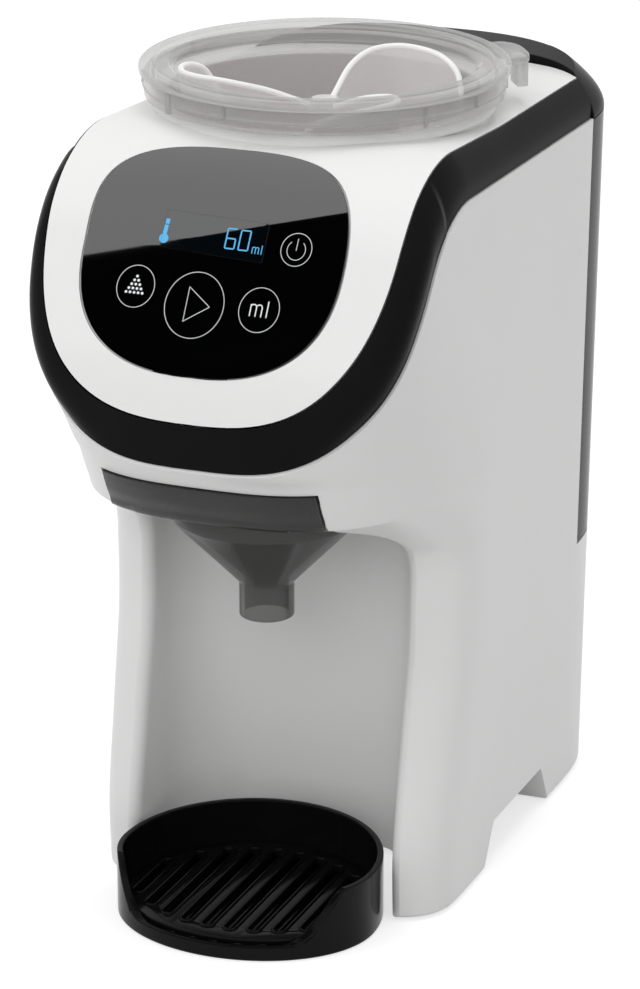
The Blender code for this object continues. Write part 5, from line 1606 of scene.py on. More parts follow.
        item = self.patch("head_cover", runs, half_of, 0.0, self.cover_thick, 64, lambda run: 0.0)
        lid_front = MainShell(body).dock(-body.gap, body.top_height - body.overrun)
        Bench.work(item, lid_front)
        Bench.work(item, Bench.rod("cover_hole", self.hole_radius, body.top_height - body.overrun,
                                   body.top_height + body.overrun, (0.0, self.container_y), 128))
        Bench.work(item, self.glass_plate("pocket", self.glass_seat, self.glass_proud + body.wall,
                                          self.glass_thick + body.wall + body.gap))
        return Bench.tidy(Bench.gather("head_cover", [item, self.collar()]), 32.0, 0.0, True)

    def collar(self) -> bpy.types.Object:
        """The low collar under the container's flange."""
        inner, outer = self.collar_radii
        low, high = self.collar_heights
        profile = [(inner, low), (inner, high), (mix(inner, outer, 0.55), high), (outer, mix(low, high, 0.3)),
                   (outer, low)]
        return Bench.turned("seat_collar", soften(profile, self.collar_round), (0.0, self.container_y), True, 144)

    def glass_half_at(self, run: float) -> float:
        """Half width of the touch panel at a run.

        Args:
            run: Length up the face from its foot.

        Returns:
            The half width there.
        """
        if run < self.glass_mid:
            share = (self.glass_mid - run) / (self.glass_mid - self.glass_low)
            return self.glass_half * power_curve(share, self.glass_powers[0])
        share = (run - self.glass_mid) / (self.glass_high - self.glass_mid)
        return self.glass_half * power_curve(share, self.glass_powers[1])

    def glass_middle_at(self, run: float) -> float:
        """Middle of the touch panel at a run."""
        return mix(*self.glass_middle, smooth_step((run - self.glass_mid) / (self.glass_high - self.glass_mid)))

    def glass_plate(self, name: str, grow: float, lift: float, thickness: float) -> bpy.types.Object:
        """The touch panel's plate, or its pocket a little larger all round.

        Args:
            name: Name of the piece.
            grow: How much larger it is on every side.
            lift: Height of its top over the face.
            thickness: Its thickness.

        Returns:
            The plate as a closed piece.
        """
        middle = (self.glass_low + self.glass_high) / 2
        reach = (self.glass_high - self.glass_low) / 2
        shares = [signed_power(math.cos(math.pi * i / 64), 0.9) for i in range(65)]
        runs = [middle - (reach + grow) * share for share in shares]

        def half_of(run: float) -> float:
            """Half width of the plate with its growth."""
            inner = middle + (run - middle) * reach / (reach + grow)
            half = self.glass_half_at(min(max(inner, self.glass_low), self.glass_high))
            return max(half * (1.0 + grow / self.glass_half) + grow, 0.0006)

        return self.patch(name, runs, half_of, lift, thickness, 56, self.glass_middle_at)

    def glass(self) -> bpy.types.Object:
        """The touch panel."""
        item = self.glass_plate("panel_glass_plate", 0.0, self.glass_proud, self.glass_thick)
        Bench.soft_edges(item, 0.0002, 50.0)
        return Bench.tidy(item, 32.0, 0.0, True)

    def dress(self) -> None:
        """Build the head's pieces and hand them over."""
        hand_over(self.band(), BLACK_TRIM, "machine", ["trim_band"])
        hand_over(self.cover(), WHITE, "machine", ["top_cover"])
        hand_over(self.glass(), GLASS, "machine", ["touch_panel"])


@dataclass
class PanelMarks:
    """What is printed and lit on the touch panel: icons, digits and a unit."""

    face: FaceForm
    lift: float = 0.00033
    thick: float = 0.00006
    line: float = 0.00020
    stroke: float = 0.00050
    step: float = 0.0007
    low_letter: float = 0.74
    arch_width: float = 0.36
    letter_space: float = 0.34
    rings: dict[str, tuple[Flat, Flat]] = field(default_factory=lambda: {
        "ring_powder": ((-0.0279, 0.0469), (0.0071, 0.0077)), "ring_start": ((-0.0046, 0.0425), (0.01105, 0.01205)),
        "ring_amount": ((0.0197, 0.0434), (0.0075, 0.0081)), "ring_power": ((0.0288, 0.0664), (0.0057, 0.0060)),
    })
    power_middle: Flat = (0.0288, 0.0662)
    power_half: Flat = (0.0034, 0.0036)
    power_sweep: Flat = (130.0, 410.0)
    power_line: Flat = (0.0660, 0.0704)
    start_sign: tuple[Flat, ...] = ((-0.0076, 0.0489), (0.0012, 0.0424), (-0.0076, 0.0363))
    dots_top: Flat = (-0.0280, 0.0506)
    dots_step: Flat = (0.00155, 0.0015)
    dot_half: float = 0.00052
    bulb: Flat = (-0.0212, 0.0653)
    bulb_half: float = 0.00175
    stem_bars: tuple[tuple[Flat, Flat], ...] = (((-0.0212, 0.0662), (-0.0211, 0.0703)),
                                                ((-0.0211, 0.0707), (-0.0210, 0.0726)))
    stem_width: float = 0.0015
    pane_sides: Flat = (-0.0221, 0.01705)
    pane_low: Flat = (0.0622, 0.0602)
    pane_high: Flat = (0.0762, 0.0747)
    pane_round: float = 0.0010
    pane_thick: float = 0.00002

    def plate(self, name: str, outline: Sequence[Flat]) -> bpy.types.Object:
        """A small flat mark from its outline on the face."""
        points = [self.face.point(x, run, self.lift) for x, run in outline]
        middle = sum(run for _, run in outline) / len(outline)
        return Bench.tile(name, points, self.face.normal(middle) * self.thick)

    def skin(self, name: str, rails: Sequence[Ring], wrap: bool) -> bpy.types.Object:
        """A thin mark between two rails of points on the face."""
        return Bench.thicken(Bench.lattice(name, rails, wrap=wrap), self.thick)

    def stroked(self, name: str, points: Sequence[Flat], width: float, closed: bool = False) -> bpy.types.Object:
        """A stroke of even width along a line, in steps short enough to follow the face.

        Args:
            name: Name of the mark.
            points: Corners of the line.
            width: Width of the stroke.
            closed: Whether the line ends where it starts.

        Returns:
            The mark as a closed piece.
        """
        corners = [Vector(point) for point in points]
        if closed:
            corners.append(corners[0])
        line: Ring = []
        for start, end in zip(corners, corners[1:]):
            count = max(1, math.ceil((end - start).length / self.step))
            line += [start.lerp(end, k / count) for k in range(count)]
        if not closed:
            line.append(corners[-1])
        rails: list[Ring] = [[], []]
        for i, here in enumerate(line):
            before = line[i - 1] if i > 0 or closed else here
            after = line[(i + 1) % len(line)] if i < len(line) - 1 or closed else here
            into = (here - before).normalized()
            away = (after - here).normalized()
            along = (into + away).normalized()
            turn = max(along.dot(away if away.length > 0.5 else into), 0.5)
            side = Vector((-along.y, along.x)) * width / 2 / turn
            for rail, sign in zip(rails, (-1.0, 1.0)):
                spot = here + side * sign
                rail.append(self.face.point(spot.x, spot.y, self.lift + self.thick))
        return self.skin(name, rails, closed)

    def bar(self, name: str, start: Flat, end: Flat, width: float) -> bpy.types.Object:
        """A straight stroke between two points."""
        return self.stroked(name, (start, end), width)

    def loop(self, name: str, middle: Flat, half: Flat, width: float, sweep: Flat = (0.0, 360.0)
             ) -> bpy.types.Object:
        """A thin ring, or part of one, round a place on the face.

        Args:
            name: Name of the mark.
            middle: Place of its middle.
            half: Half of its width and height to the line's middle.
            width: Width of the line.
            sweep: First and last angle in degrees, from the right.

        Returns:
            The mark as a closed piece.
        """
        whole = abs(sweep[1] - sweep[0]) >= 360.0
        count = 72
        rails: list[Ring] = []
        for offset in (-width / 2, width / 2):
            rail = []
            for i in range(count if whole else count + 1):
                angle = math.radians(mix(sweep[0], sweep[1], i / count))
                x = middle[0] + (half[0] + offset) * math.cos(angle)
                run = middle[1] + (half[1] + offset) * math.sin(angle)
                rail.append(self.face.point(x, run, self.lift + self.thick))
            rails.append(rail)
        return self.skin(name, rails, whole)

    def disc(self, name: str, middle: Flat, half: float, count: int = 14) -> bpy.types.Object:
        """A round dot."""
        return self.plate(name, [on_circle(half, 2 * math.pi * i / count, middle) for i in range(count)])

    def digit(self, name: str, left: float, right: float, low: float, high: float, segments: str
              ) -> list[bpy.types.Object]:
        """A seven-segment digit.

        Args:
            name: Name of the digit's pieces.
            left: Left edge.
            right: Right edge.
            low: Lower edge.
            high: Upper edge.
            segments: Letters a to g of the lit segments.

        Returns:
            One piece per lit segment.
        """
        half = self.stroke / 2
        gap = self.stroke * 0.18
        x0, x1 = left + half, right - half
        y0, y1 = low + half, high - half
        ym = (y0 + y1) / 2
        places = {
            "a": ((x0 + gap, y1), (x1 - gap, y1)), "b": ((x1, y1 - gap), (x1, ym + gap)),
            "c": ((x1, ym - gap), (x1, y0 + gap)), "d": ((x0 + gap, y0), (x1 - gap, y0)),
            "e": ((x0, ym - gap), (x0, y0 + gap)), "f": ((x0, y1 - gap), (x0, ym + gap)),
            "g": ((x0 + gap, ym), (x1 - gap, ym)),
        }
        return [self.bar(f"{name}_{letter}", *places[letter], self.stroke) for letter in segments]

    def letters_ml(self, name: str, left: float, low: float, height: float, width: float
                   ) -> list[bpy.types.Object]:
        """The unit: an m of round arches and an l.

        Args:
            name: Name of the unit's pieces.
            left: Left edge.
            low: Lower edge.
            height: Height of the l.
            width: Width of the strokes.

        Returns:
            One piece per stroke.
        """
        body = height * self.low_letter
        arch = height * self.arch_width
        pieces = [self.bar(f"{name}_stem", (left, low), (left, low + body), width)]
        for k in range(2):
            middle = (left + arch * (k + 0.5), low + body - arch / 2)
            points = [on_circle(arch / 2, math.pi * (1 - i / 8), middle) for i in range(9)]
            points += [(left + arch * (k + 1), low)]
            pieces.append(self.stroked(f"{name}_arch_{k}", points, width))
        stem = left + 2 * arch + height * self.letter_space
        pieces.append(self.bar(f"{name}_tall", (stem, low), (stem, low + height), width))
        return pieces

    def printed(self) -> bpy.types.Object:
        """All white marks as one piece.

        Returns:
            The finished piece.
        """
        pieces = [self.loop(name, middle, half, self.line) for name, (middle, half) in self.rings.items()]
        across = self.power_middle[0]
        low, high = self.power_line
        pieces += [self.loop("power_arc", self.power_middle, self.power_half, self.line, self.power_sweep),
                   self.bar("power_line", (across, low), (across, high), self.line),
                   self.stroked("start_sign", self.start_sign, self.line, True)]
        for row in range(5):
            for k in range(row + 1):
                x = self.dots_top[0] + (k - row / 2) * self.dots_step[0]
                spot = (x, self.dots_top[1] - row * self.dots_step[1])
                pieces.append(self.disc(f"powder_dot_{row}_{k}", spot, self.dot_half, 10))
        pieces += self.letters_ml("amount_unit", 0.0165, 0.0409, 0.0059, 0.00044)
        return Bench.tidy(Bench.gather("panel_print", pieces), 30.0)

    def lit(self) -> bpy.types.Object:
        """All lit marks of the display as one piece.

        Returns:
            The finished piece.
        """
        pieces = self.digit("tens", 0.0019, 0.0059, 0.0639, 0.0717, "acdefg")
        pieces += self.digit("units", 0.0070, 0.0111, 0.0638, 0.0715, "abcdef")
        pieces += self.letters_ml("display_unit_sign", 0.0126, 0.0632, 0.0033, 0.00032)
        pieces.append(self.disc("bulb", self.bulb, self.bulb_half, 24))
        pieces += [self.bar("stem", start, end, self.stem_width) for start, end in self.stem_bars]
        return Bench.tidy(Bench.gather("display_digits", pieces), 30.0)

    def window(self) -> bpy.types.Object:
        """The slightly lighter window behind the lit marks.

        Returns:
            The finished piece.
        """
        grid = []
        for i in range(41):
            x = mix(*self.pane_sides, i / 40)
            corner = max(0.0, (abs(2 * i / 40 - 1) - 0.94) / 0.06)
            pull = self.pane_round * corner ** 2
            low = mix(*self.pane_low, i / 40) + pull
            high = mix(*self.pane_high, i / 40) - pull
            grid.append([self.face.point(x, mix(low, high, k / 16), self.lift - self.pane_thick / 2)
                         for k in range(17)])
        return Bench.tidy(Bench.thicken(Bench.lattice("display_pane", grid), self.pane_thick), 30.0)

    def window_frame(self) -> bpy.types.Object:
        """The faint line round the display's window."""
        left, right = self.pane_sides
        corners = [(left, self.pane_low[0]), (right, self.pane_low[1]), (right, self.pane_high[1]),
                   (left, self.pane_high[0])]
        outline = soften(corners, self.pane_round)
        return Bench.tidy(self.stroked("display_frame", outline, self.line / 2, True), 30.0)

    def dress(self) -> None:
        """Build the marks and hand them over."""
        hand_over(self.window_frame(), DISPLAY_FRAME, "machine")
        hand_over(self.window(), DISPLAY_WINDOW, "machine")
        # The print carries a faint painted glow.
        hand_over(self.printed(), PRINT, "machine")
        hand_over(self.lit(), DISPLAY_LIGHT, "machine")


@dataclass
class PowderContainer:
    """The clear container with its metering wheel, stirrer and lid."""

    y: float = -0.0007
    radius: float = 0.0590
    wall: float = 0.0020
    floor: float = 0.2308
    floor_thick: float = 0.0025
    flange_radius: float = 0.0665
    flange_low: float = 0.2978
    flange_top: float = 0.3063
    flange_shelf: float = 0.0022
    flange_wall: float = 0.0020
    bead_root: float = 0.0004
    bead_proud: float = 0.0006
    bead_rise: float = 0.0034
    bead_height: float = 0.0007
    rib_proud: float = 0.0009
    ribs: tuple[Flat, ...] = ((-158.0, 0.0006), (-126.0, 0.0016), (-101.0, 0.0006), (-36.0, 0.0006), (-14.0, 0.0006),
                              (24.0, 0.0006), (70.0, 0.0006), (118.0, 0.0006), (160.0, 0.0006))
    shaft_radius: float = 0.0050
    shaft_play: float = 0.0004
    outlet: Flat = (-0.0427, 0.0085)
    wheel_low: float = 0.2336
    wheel_thick: float = 0.0060
    wheel_radius: float = 0.0559
    pocket_radius: float = 0.0085
    pocket_ring: float = 0.0400
    shaft_low: float = 0.2185
    lid_radius: float = 0.0684
    lid_low: float = 0.3066
    lid_top: float = 0.30965
    plug_radius: float = 0.0640
    plug_depth: float = 0.0050
    plug_wall: float = 0.0018
    window_radius: float = 0.0560
    window_drop: float = 0.0018
    window_play: float = 0.0001
    lid_plate: float = 0.0016
    lid_groove: float = 0.0004
    lid_edge: float = 0.0009
    ear_reach: float = 0.0763
    ear_start: float = math.radians(23.0)
    ear_end: float = math.radians(46.5)
    ear_root: float = 0.0018
    ear_sink: float = 0.0003
    post_half: Flat = (0.0022, 0.0050)
    post_drop: float = 0.0104
    post_inset: float = 0.0023
    hub_radius: float = 0.0085
    hub_top: float = 0.2953
    flute: float = 0.045
    blade_thick: float = 0.0014
    blade_draw: float = 0.94
    rim_thick: float = 0.0022
    rim_rows: tuple[tuple[float, ...], ...] = (
        (0.00, 0.0060, 90.0, 0.2930), (0.18, 0.0250, 92.0, 0.3000), (0.38, 0.0430, 88.0, 0.3036),
        (0.52, 0.0525, 78.0, 0.3042), (0.65, 0.0550, 62.0, 0.3030), (0.77, 0.0548, 48.0, 0.2990),
        (0.88, 0.0532, 38.0, 0.2850), (1.00, 0.0495, 30.0, 0.2620),
    )

    def container(self) -> bpy.types.Object:
        """The bowl with its flange, beads and small ribs.

        Returns:
            The finished piece.
        """
        inner = self.radius - self.wall
        flange_in = self.flange_radius - self.flange_wall
        bore = self.shaft_radius + self.shaft_play
        profile = [(flange_in, self.flange_top), (self.flange_radius, self.flange_top),
                   (self.flange_radius, self.flange_low), (self.radius, self.flange_low),
                   (self.radius, self.floor), (bore, self.floor), (bore, self.floor + self.floor_thick),
                   (inner, self.floor + self.floor_thick), (inner, self.flange_low + self.flange_shelf),
                   (flange_in, self.flange_low + self.flange_shelf)]
        item = Bench.turned("container_bowl", soften(profile, 0.0006), (0.0, self.y), True, 144)
        y, radius = self.outlet
        Bench.work(item, Bench.rod("powder_hole", radius, self.floor - 0.02, self.floor + 0.02, (0.0, y)))
        return Bench.tidy(item, 32.0)

    def flange_trim(self) -> bpy.types.Object:
        """The bead round the flange with the small ribs that stand on it.

        Returns:
            The finished piece.
        """
        out, root = self.flange_radius, self.flange_radius - self.bead_root
        low = self.flange_low + self.bead_rise
        high = low + self.bead_height
        profile = [(root, low), (out + self.bead_proud, low), (out + self.bead_proud, high), (root, high)]
        pieces = [Bench.turned("bead", soften(profile, 0.00025), (0.0, self.y), True, 144)]
        for index, (degrees, width) in enumerate(self.ribs):
            foot = self.flange_low + self.bead_root if index % 2 else low
            rib = Bench.block("rib", (root, -width, foot),
                              (out + self.rib_proud, width, self.flange_top - self.bead_root), 0.0002)
            turn = Matrix.Translation((0.0, self.y, 0.0)) @ Matrix.Rotation(math.radians(degrees), 4, "Z")
            rib.data.transform(turn)
            pieces.append(rib)
        return Bench.tidy(Bench.gather("flange_bead", pieces), 32.0)

    def wheel(self) -> bpy.types.Object:
        """The metering wheel with its pockets and shaft.

        Returns:
            The finished piece.
        """
        high = self.wheel_low + self.wheel_thick
        profile = [(0.0, high), (self.wheel_radius, high), (self.wheel_radius, self.wheel_low),
                   (self.shaft_radius, self.wheel_low), (self.shaft_radius, self.shaft_low), (0.0, self.shaft_low)]
        item = Bench.turned("metering_wheel", soften(profile, 0.0006, False), (0.0, self.y), False, 96)
        for i in range(6):
            place = on_circle(self.pocket_ring, 2 * math.pi * i / 6 + math.pi / 2, (0.0, self.y))
            Bench.work(item, Bench.rod("pocket", self.pocket_radius, self.wheel_low - 0.001, high + 0.001, place))
        Bench.soft_edges(item, 0.0003, 50.0)
        return Bench.tidy(item, 32.0)

    def hub(self) -> bpy.types.Object:
        """The stirrer's fluted hub.

        Returns:
            The finished piece.
        """
        low = self.wheel_low + self.wheel_thick + 0.0003
        grid = []
        for height, share in ((low, 1.0), (low + 0.004, 0.98), (low + 0.02, 0.86), (self.hub_top - 0.008, 0.74),
                              (self.hub_top - 0.002, 0.7), (self.hub_top, 0.55)):
            ring = []
            for angle in (2 * math.pi * i / 96 for i in range(96)):
                reach = self.hub_radius * share * (1.0 + self.flute * math.cos(12 * angle))
                ring.append(Vector((*on_circle(reach, angle, (0.0, self.y)), height)))
            grid.append(ring)
        item = Bench.solid("stirrer_hub", grid)
        return Bench.tidy(item, 40.0)

    def blade(self, number: int) -> tuple[bpy.types.Object, bpy.types.Object]:
        """One curved blade.

        Args:
            number: Which of the three blades.

        Returns:
            Its sheet, and the thick rim along its top.
        """
        turn = 2 * math.pi * number / 3
        foot = self.wheel_low + self.wheel_thick + 0.0008
        count = 48
        line = []
        for i in range(count + 1):
            reach, degrees, height = eased(self.rim_rows, i / count)
            line.append(Vector((*on_circle(reach, turn + math.radians(degrees), (0.0, self.y)), height)))
        sheet: list[Ring] = []
        rim: list[Ring] = []
        for i, top in enumerate(line):
            along = (line[min(i + 1, count)] - line[max(i - 1, 0)]).normalized()
            side = Vector((-along.y, along.x, 0.0)).normalized()
            lift = along.cross(side)
            low = Vector((top.x * self.blade_draw, mix(self.y, top.y, self.blade_draw), foot))
            half = side * self.blade_thick / 2
            sheet.append([low + half, low - half, top - half, top + half])
            turns = [on_circle(self.rim_thick / 2, 2 * math.pi * k / 10) for k in range(10)]
            rim.append([top + side * a + lift * b for a, b in turns])
        leaf = Bench.solid(f"stirrer_blade_{number}", sheet)
        edge = Bench.solid(f"stirrer_rim_{number}", rim)
        return Bench.tidy(leaf, 40.0), Bench.tidy(edge, 50.0)

    def lid(self) -> bpy.types.Object:
        """The lid's rim and plug, round its sunken window.

        Returns:
            The finished piece.
        """
        top, drop = self.lid_top, self.window_drop
        out, inner = self.lid_radius, self.window_radius
        plug, bottom = self.plug_radius, self.lid_low - self.plug_depth
        groove, edge = self.lid_groove, self.lid_edge
        middle = (inner + drop + out) / 2
        profile = [(inner, top - drop), (inner + drop, top), (middle - 3 * groove, top),
                   (middle - 2 * groove, top - groove), (middle + groove, top - groove), (middle + 2 * groove, top),
                   (out - edge, top), (out, top - edge), (out, self.lid_low), (plug, self.lid_low), (plug, bottom),
                   (plug - self.plug_wall, bottom), (plug - self.plug_wall, top - drop - self.lid_plate),
                   (inner, top - drop - self.lid_plate)]
        item = Bench.turned("lid_ring", soften(profile, 0.0003), (0.0, self.y), True, 144)
        return Bench.tidy(item, 32.0)

    def window(self) -> bpy.types.Object:
        """The lid's clear round window.

        Returns:
            The finished piece.
        """
        play = self.window_play
        high = self.lid_top - self.window_drop - play
        low = high - self.lid_plate + 2 * play
        reach = self.window_radius - play
        profile = [(0.0, high), (reach, high), (reach, low), (0.0, low)]
        item = Bench.turned("lid_window", profile, (0.0, self.y), False, 144)
        return Bench.tidy(item, 32.0)

    def ear(self) -> bpy.types.Object:
        """The lid's ear with the post under it.

        Returns:
            The finished piece.
        """
        axis = (0.0, self.y)
        inner = self.lid_radius - self.ear_root
        angles = [mix(self.ear_start, self.ear_end, i / 16) for i in range(17)]
        outline = [on_circle(self.ear_reach * (1.0 - 0.06 * (2 * i / 16 - 1) ** 4), angle, axis)
                   for i, angle in enumerate(angles)]
        outline += [on_circle(inner, angle, axis) for angle in angles[::-1]]
        plate = Bench.prism("lid_ear", outline, self.lid_low + self.ear_sink, self.lid_top - self.ear_sink)
        Bench.soft_edges(plate, 0.0005, 40.0, 3)
        middle = (self.ear_start + self.ear_end) / 2
        half_x, half_y = self.post_half
        post = Bench.block("post", (-half_x, -half_y, self.lid_low - self.post_drop),
                           (half_x, half_y, self.lid_low + 2 * self.ear_sink), 0.0008)
        place = Vector((*on_circle(self.ear_reach - self.post_inset, middle, axis), 0.0))
        post.data.transform(Matrix.Translation(place) @ Matrix.Rotation(middle, 4, "Z"))
        return Bench.tidy(Bench.gather("lid_ear_post", [plate, post]), 40.0)

    def dress(self) -> None:
        """Build the container's pieces and hand them over."""
        hand_over(self.container(), BOWL_CLEAR, "container", ["powder_container"], False)
        hand_over(self.flange_trim(), LID_CLEAR, "container", [], False)
        hand_over(self.wheel(), CORAL, "wheel", ["powder_wheel"])
        # The hub and blades get the frosted finish with its painted glow.
        hand_over(self.hub(), FROSTED, "wheel", ["stirrer"])
        for number in range(3):
            leaf, edge = self.blade(number)
            hand_over(leaf, FROSTED, "wheel", ["stirrer"])
            # The blade rims get the stronger painted glow.
            hand_over(edge, STIRRER_RIM, "wheel", ["stirrer"])
        hand_over(self.lid(), LID_CLEAR, "container_cap", ["container_lid"], False)
        hand_over(self.window(), LID_WINDOW, "container_cap", ["container_lid"], False)
        hand_over(self.ear(), LID_CLEAR, "container_cap", ["container_lid"], False)


@dataclass
class FunnelDrawer:
    """The smoked drawer: front plate, deck, bowl, cone and spout."""

    shell: MainShell
    y: float = -0.0589
    radius: float = 0.0362
    wall: float = 0.0020
    rim: float = 0.1800
    cone_top: float = 0.1534
    cone_low: float = 0.1266
    spout_radius: float = 0.0102
    spout_end: float = 0.1132
    half: float = 0.0410
    low: float = 0.1659
    high: float = 0.1815
    thick: float = 0.0030
    proud: float = 0.0012
    deck_low: float = 0.1772
    deck_thick: float = 0.0025
    deck_play: float = 0.0004

    def bowl(self) -> bpy.types.Object:
        """The round bowl, cone and spout.

        Returns:
            The finished piece.
        """
        out, bore = self.radius, self.spout_radius
        profile = [(out - self.wall, self.rim), (out, self.rim), (out, self.cone_top), (bore, self.cone_low),
                   (bore, self.spout_end), (bore - self.wall, self.spout_end),
                   (bore - self.wall, self.cone_low + self.wall), (out - self.wall, self.cone_top + self.wall / 2)]
        item = Bench.turned("funnel_bowl", soften(profile, 0.0008), (0.0, self.y), True, 120)
        return Bench.tidy(item, 34.0)

    def deck(self) -> bpy.types.Object:
        """The deck that carries the bowl in its slot.

        Returns:
            The finished piece.
        """
        half = self.half - self.deck_play
        places = [mix(-half, half, i / 32) for i in range(33)]
        outline = [(x, self.shell.body.skin_y(x, self.deck_low) + self.thick / 2) for x in places]
        outline += [(half, self.y), (-half, self.y)]
        item = Bench.prism("drawer_deck", outline, self.deck_low, self.deck_low + self.deck_thick)
        Bench.work(item, Bench.rod("mouth", self.radius - self.wall / 2, self.deck_low - 0.01, self.rim + 0.01,
                                   (0.0, self.y), 96))
        return Bench.tidy(item, 32.0)

    def front(self) -> bpy.types.Object:
        """The front plate that follows the chin."""
        item = self.shell.chin_plate("drawer_front", self.half, self.low, self.high, -self.proud,
                                     self.thick - self.proud)
        Bench.soft_edges(item, 0.0005, 50.0, 3)
        return Bench.tidy(item, 32.0, 0.0, True)

    def dress(self) -> None:
        """Build the drawer's pieces and hand them over."""
        hand_over(self.bowl(), SMOKED_BOWL, "drawer", ["funnel_drawer"])
        hand_over(self.deck(), SMOKED_FUNNEL, "drawer", ["funnel_drawer"])
        hand_over(self.front(), SMOKED_FUNNEL, "drawer", ["funnel_drawer"])


@dataclass
class DripTray:
    """The black tray with its dipped front and the ribbed grate."""

    half: float = 0.0502
    middle: float = -0.0785
    front: float = 0.0405
    rear: float = 0.0525
    power: float = 2.0
    height: float = 0.0250
    front_height: float = 0.0060
    wall: float = 0.0024
    floor: float = 0.0022
    dip_start: float = 0.0150
    dip_end: float = 0.0325
    foot_round: float = 0.0012
    above: float = 0.03
    tongue_half: float = 0.0150
    tongue_low: float = 0.0011
    tongue_top: float = 0.0060
    tongue_end: float = -0.0103
    grate_gap: float = 0.0008
    grate_thick: float = 0.0022
    grate_stand: float = 0.0030
    slot_width: float = 0.0036
    slot_margin: float = 0.0070
    slots: int = 9
    play: float = 0.0003
    lip_half: float = 0.0006
    lip_height: float = 0.0008
    lip_sink: float = 0.0001
    lip_root: float = 0.0004

    def ring(self, inset: float, height: float, count: int = 176) -> Ring:
        """The tray's plan at a height.

        Args:
            inset: How far the plan lies inside the tray's side.
            height: Level of the plan.
            count: Points all round.

        Returns:
            The points, from the right and against the clock.
        """
        result = []
        for i in range(count):
            angle = 2 * math.pi * i / count
            c, s = math.cos(angle), math.sin(angle)
            reach = self.front if s < 0 else self.rear
            x = (self.half - inset) * signed_power(c, 2 / self.power)
            result.append(Vector((x, self.middle + (reach - inset) * signed_power(s, 2 / self.power), height)))
        return result

    def tray(self) -> bpy.types.Object:
        """The tray itself.

        Returns:
            The finished piece.
        """
        turns = [on_circle(self.foot_round, math.pi / 2 * i / 4) for i in range(5)]
        rings = [self.ring(self.foot_round - s, self.foot_round - c) for c, s in turns]
        rings += [self.ring(0.0, mix(self.foot_round, self.height, i / 10)) for i in range(1, 11)]
        item = Bench.solid("tray_body", rings)
        inside = [self.ring(self.wall + 0.0015, self.floor), self.ring(self.wall + 0.0005, self.floor + 0.0005),
                  self.ring(self.wall, self.floor + 0.0015), self.ring(self.wall, self.height + self.above)]
        Bench.work(item, Bench.solid("tray_inside", inside))
        shares = [i / 40 for i in range(41)]
        outline = [(self.middle - mix(self.dip_start, self.dip_end, t),
                    mix(self.height + self.play, self.front_height, smooth_step(t))) for t in shares]
        far = self.middle - self.front - self.above
        outline += [(far, self.front_height), (far, self.height + self.above),
                    (self.middle - self.dip_start, self.height + self.above)]
        Bench.work(item, Bench.side_prism("tray_dip", outline, self.half + self.above))
        tongue = Bench.block("tongue", (-self.tongue_half, self.middle + self.rear - self.wall, self.tongue_low),
                             (self.tongue_half, self.tongue_end, self.tongue_top), 0.0005)
        Bench.work(item, tongue, Operation.FUSE)
        Bench.soft_edges(item, 0.0006, 42.0, 3)
        for vert in item.data.vertices:
            vert.co.z = max(vert.co.z, 0.0)
        return Bench.tidy(item, 34.0, 0.0, True)

    def slot_outline(self, x: float, low: float, high: float, grow: float) -> list[Flat]:
        """A long slot with round ends, in plan.

        Args:
            x: Middle of the slot.
            low: Depth of its front end.
            high: Depth of its rear end.
            grow: How much larger it is on every side.

        Returns:
            Points all round.
        """
        half = self.slot_width / 2
        far, near = (x, high - half), (x, low + half)
        points = [on_circle(half + grow, math.pi * i / 8, far) for i in range(9)]
        return points + [on_circle(half + grow, math.pi + math.pi * i / 8, near) for i in range(9)]

    def grate(self) -> bpy.types.Object:
        """The grate: a plate with slots, raised lips and stands.

        Returns:
            The finished piece.
        """
        inset = self.wall + self.grate_gap
        low = self.floor + self.play + self.grate_stand
        high = low + self.grate_thick
        plate = Bench.solid("grate_plate", [self.ring(inset, low, 128), self.ring(inset, high, 128)])
        pitch = 2 * (self.half - inset - self.slot_margin) / self.slots
        lips = []
        for i in range(self.slots + 1):
            x = (i - self.slots / 2) * pitch
            share = power_curve(x / (self.half - inset), self.power)
            low_y = self.middle - (self.front - inset) * share + self.slot_margin
            high_y = self.middle + (self.rear - inset) * share - self.slot_margin
            hole = self.slot_outline(x, low_y, high_y, 0.0)
            Bench.work(plate, Bench.prism("slot", hole, low - 0.001, high + 0.001))
            lips.append(self.lip(x, low_y, high_y, high))
        stands = []
        for sx in (-1, 1):
            for y in (self.middle - self.front / 2, self.middle + self.rear / 2):
                stands.append(Bench.rod("grate_stand", pitch / 2 - self.slot_width / 2, self.floor + self.play,
                                        low + self.play, (sx * pitch * 3, y), 20))
        Bench.soft_edges(plate, 0.0003, 50.0)
        return Bench.tidy(Bench.gather("grate_ribbed", [plate] + lips + stands), 40.0)

    def lip(self, x: float, low: float, high: float, top: float) -> bpy.types.Object:
        """The raised lip round one slot.

        Args:
            x: Middle of the slot.
            low: Depth of its front end.
            high: Depth of its rear end.
            top: Height of the plate's top.

        Returns:
            The lip as a closed piece.
        """
        rows = []
        for k in range(7):
            across, rise = on_circle(1.0, math.pi * k / 6)
            rows.append((self.lip_half - self.lip_half * across, top - self.lip_sink + self.lip_height * rise))
        rows += [(2 * self.lip_half, top - self.lip_root), (0.0, top - self.lip_root), rows[0]]
        grid = [[Vector((px, py, height)) for px, py in self.slot_outline(x, low, high, grow)]
                for grow, height in rows]
        return Bench.lattice("slot_lip", grid, wrap=True)

    def dress(self) -> None:
        """Build the tray and grate and hand them over."""
        hand_over(self.tray(), BLACK_PLASTIC, "tray", ["drip_tray"])
        hand_over(self.grate(), BLACK_PLASTIC, "grate", ["drip_grate"])


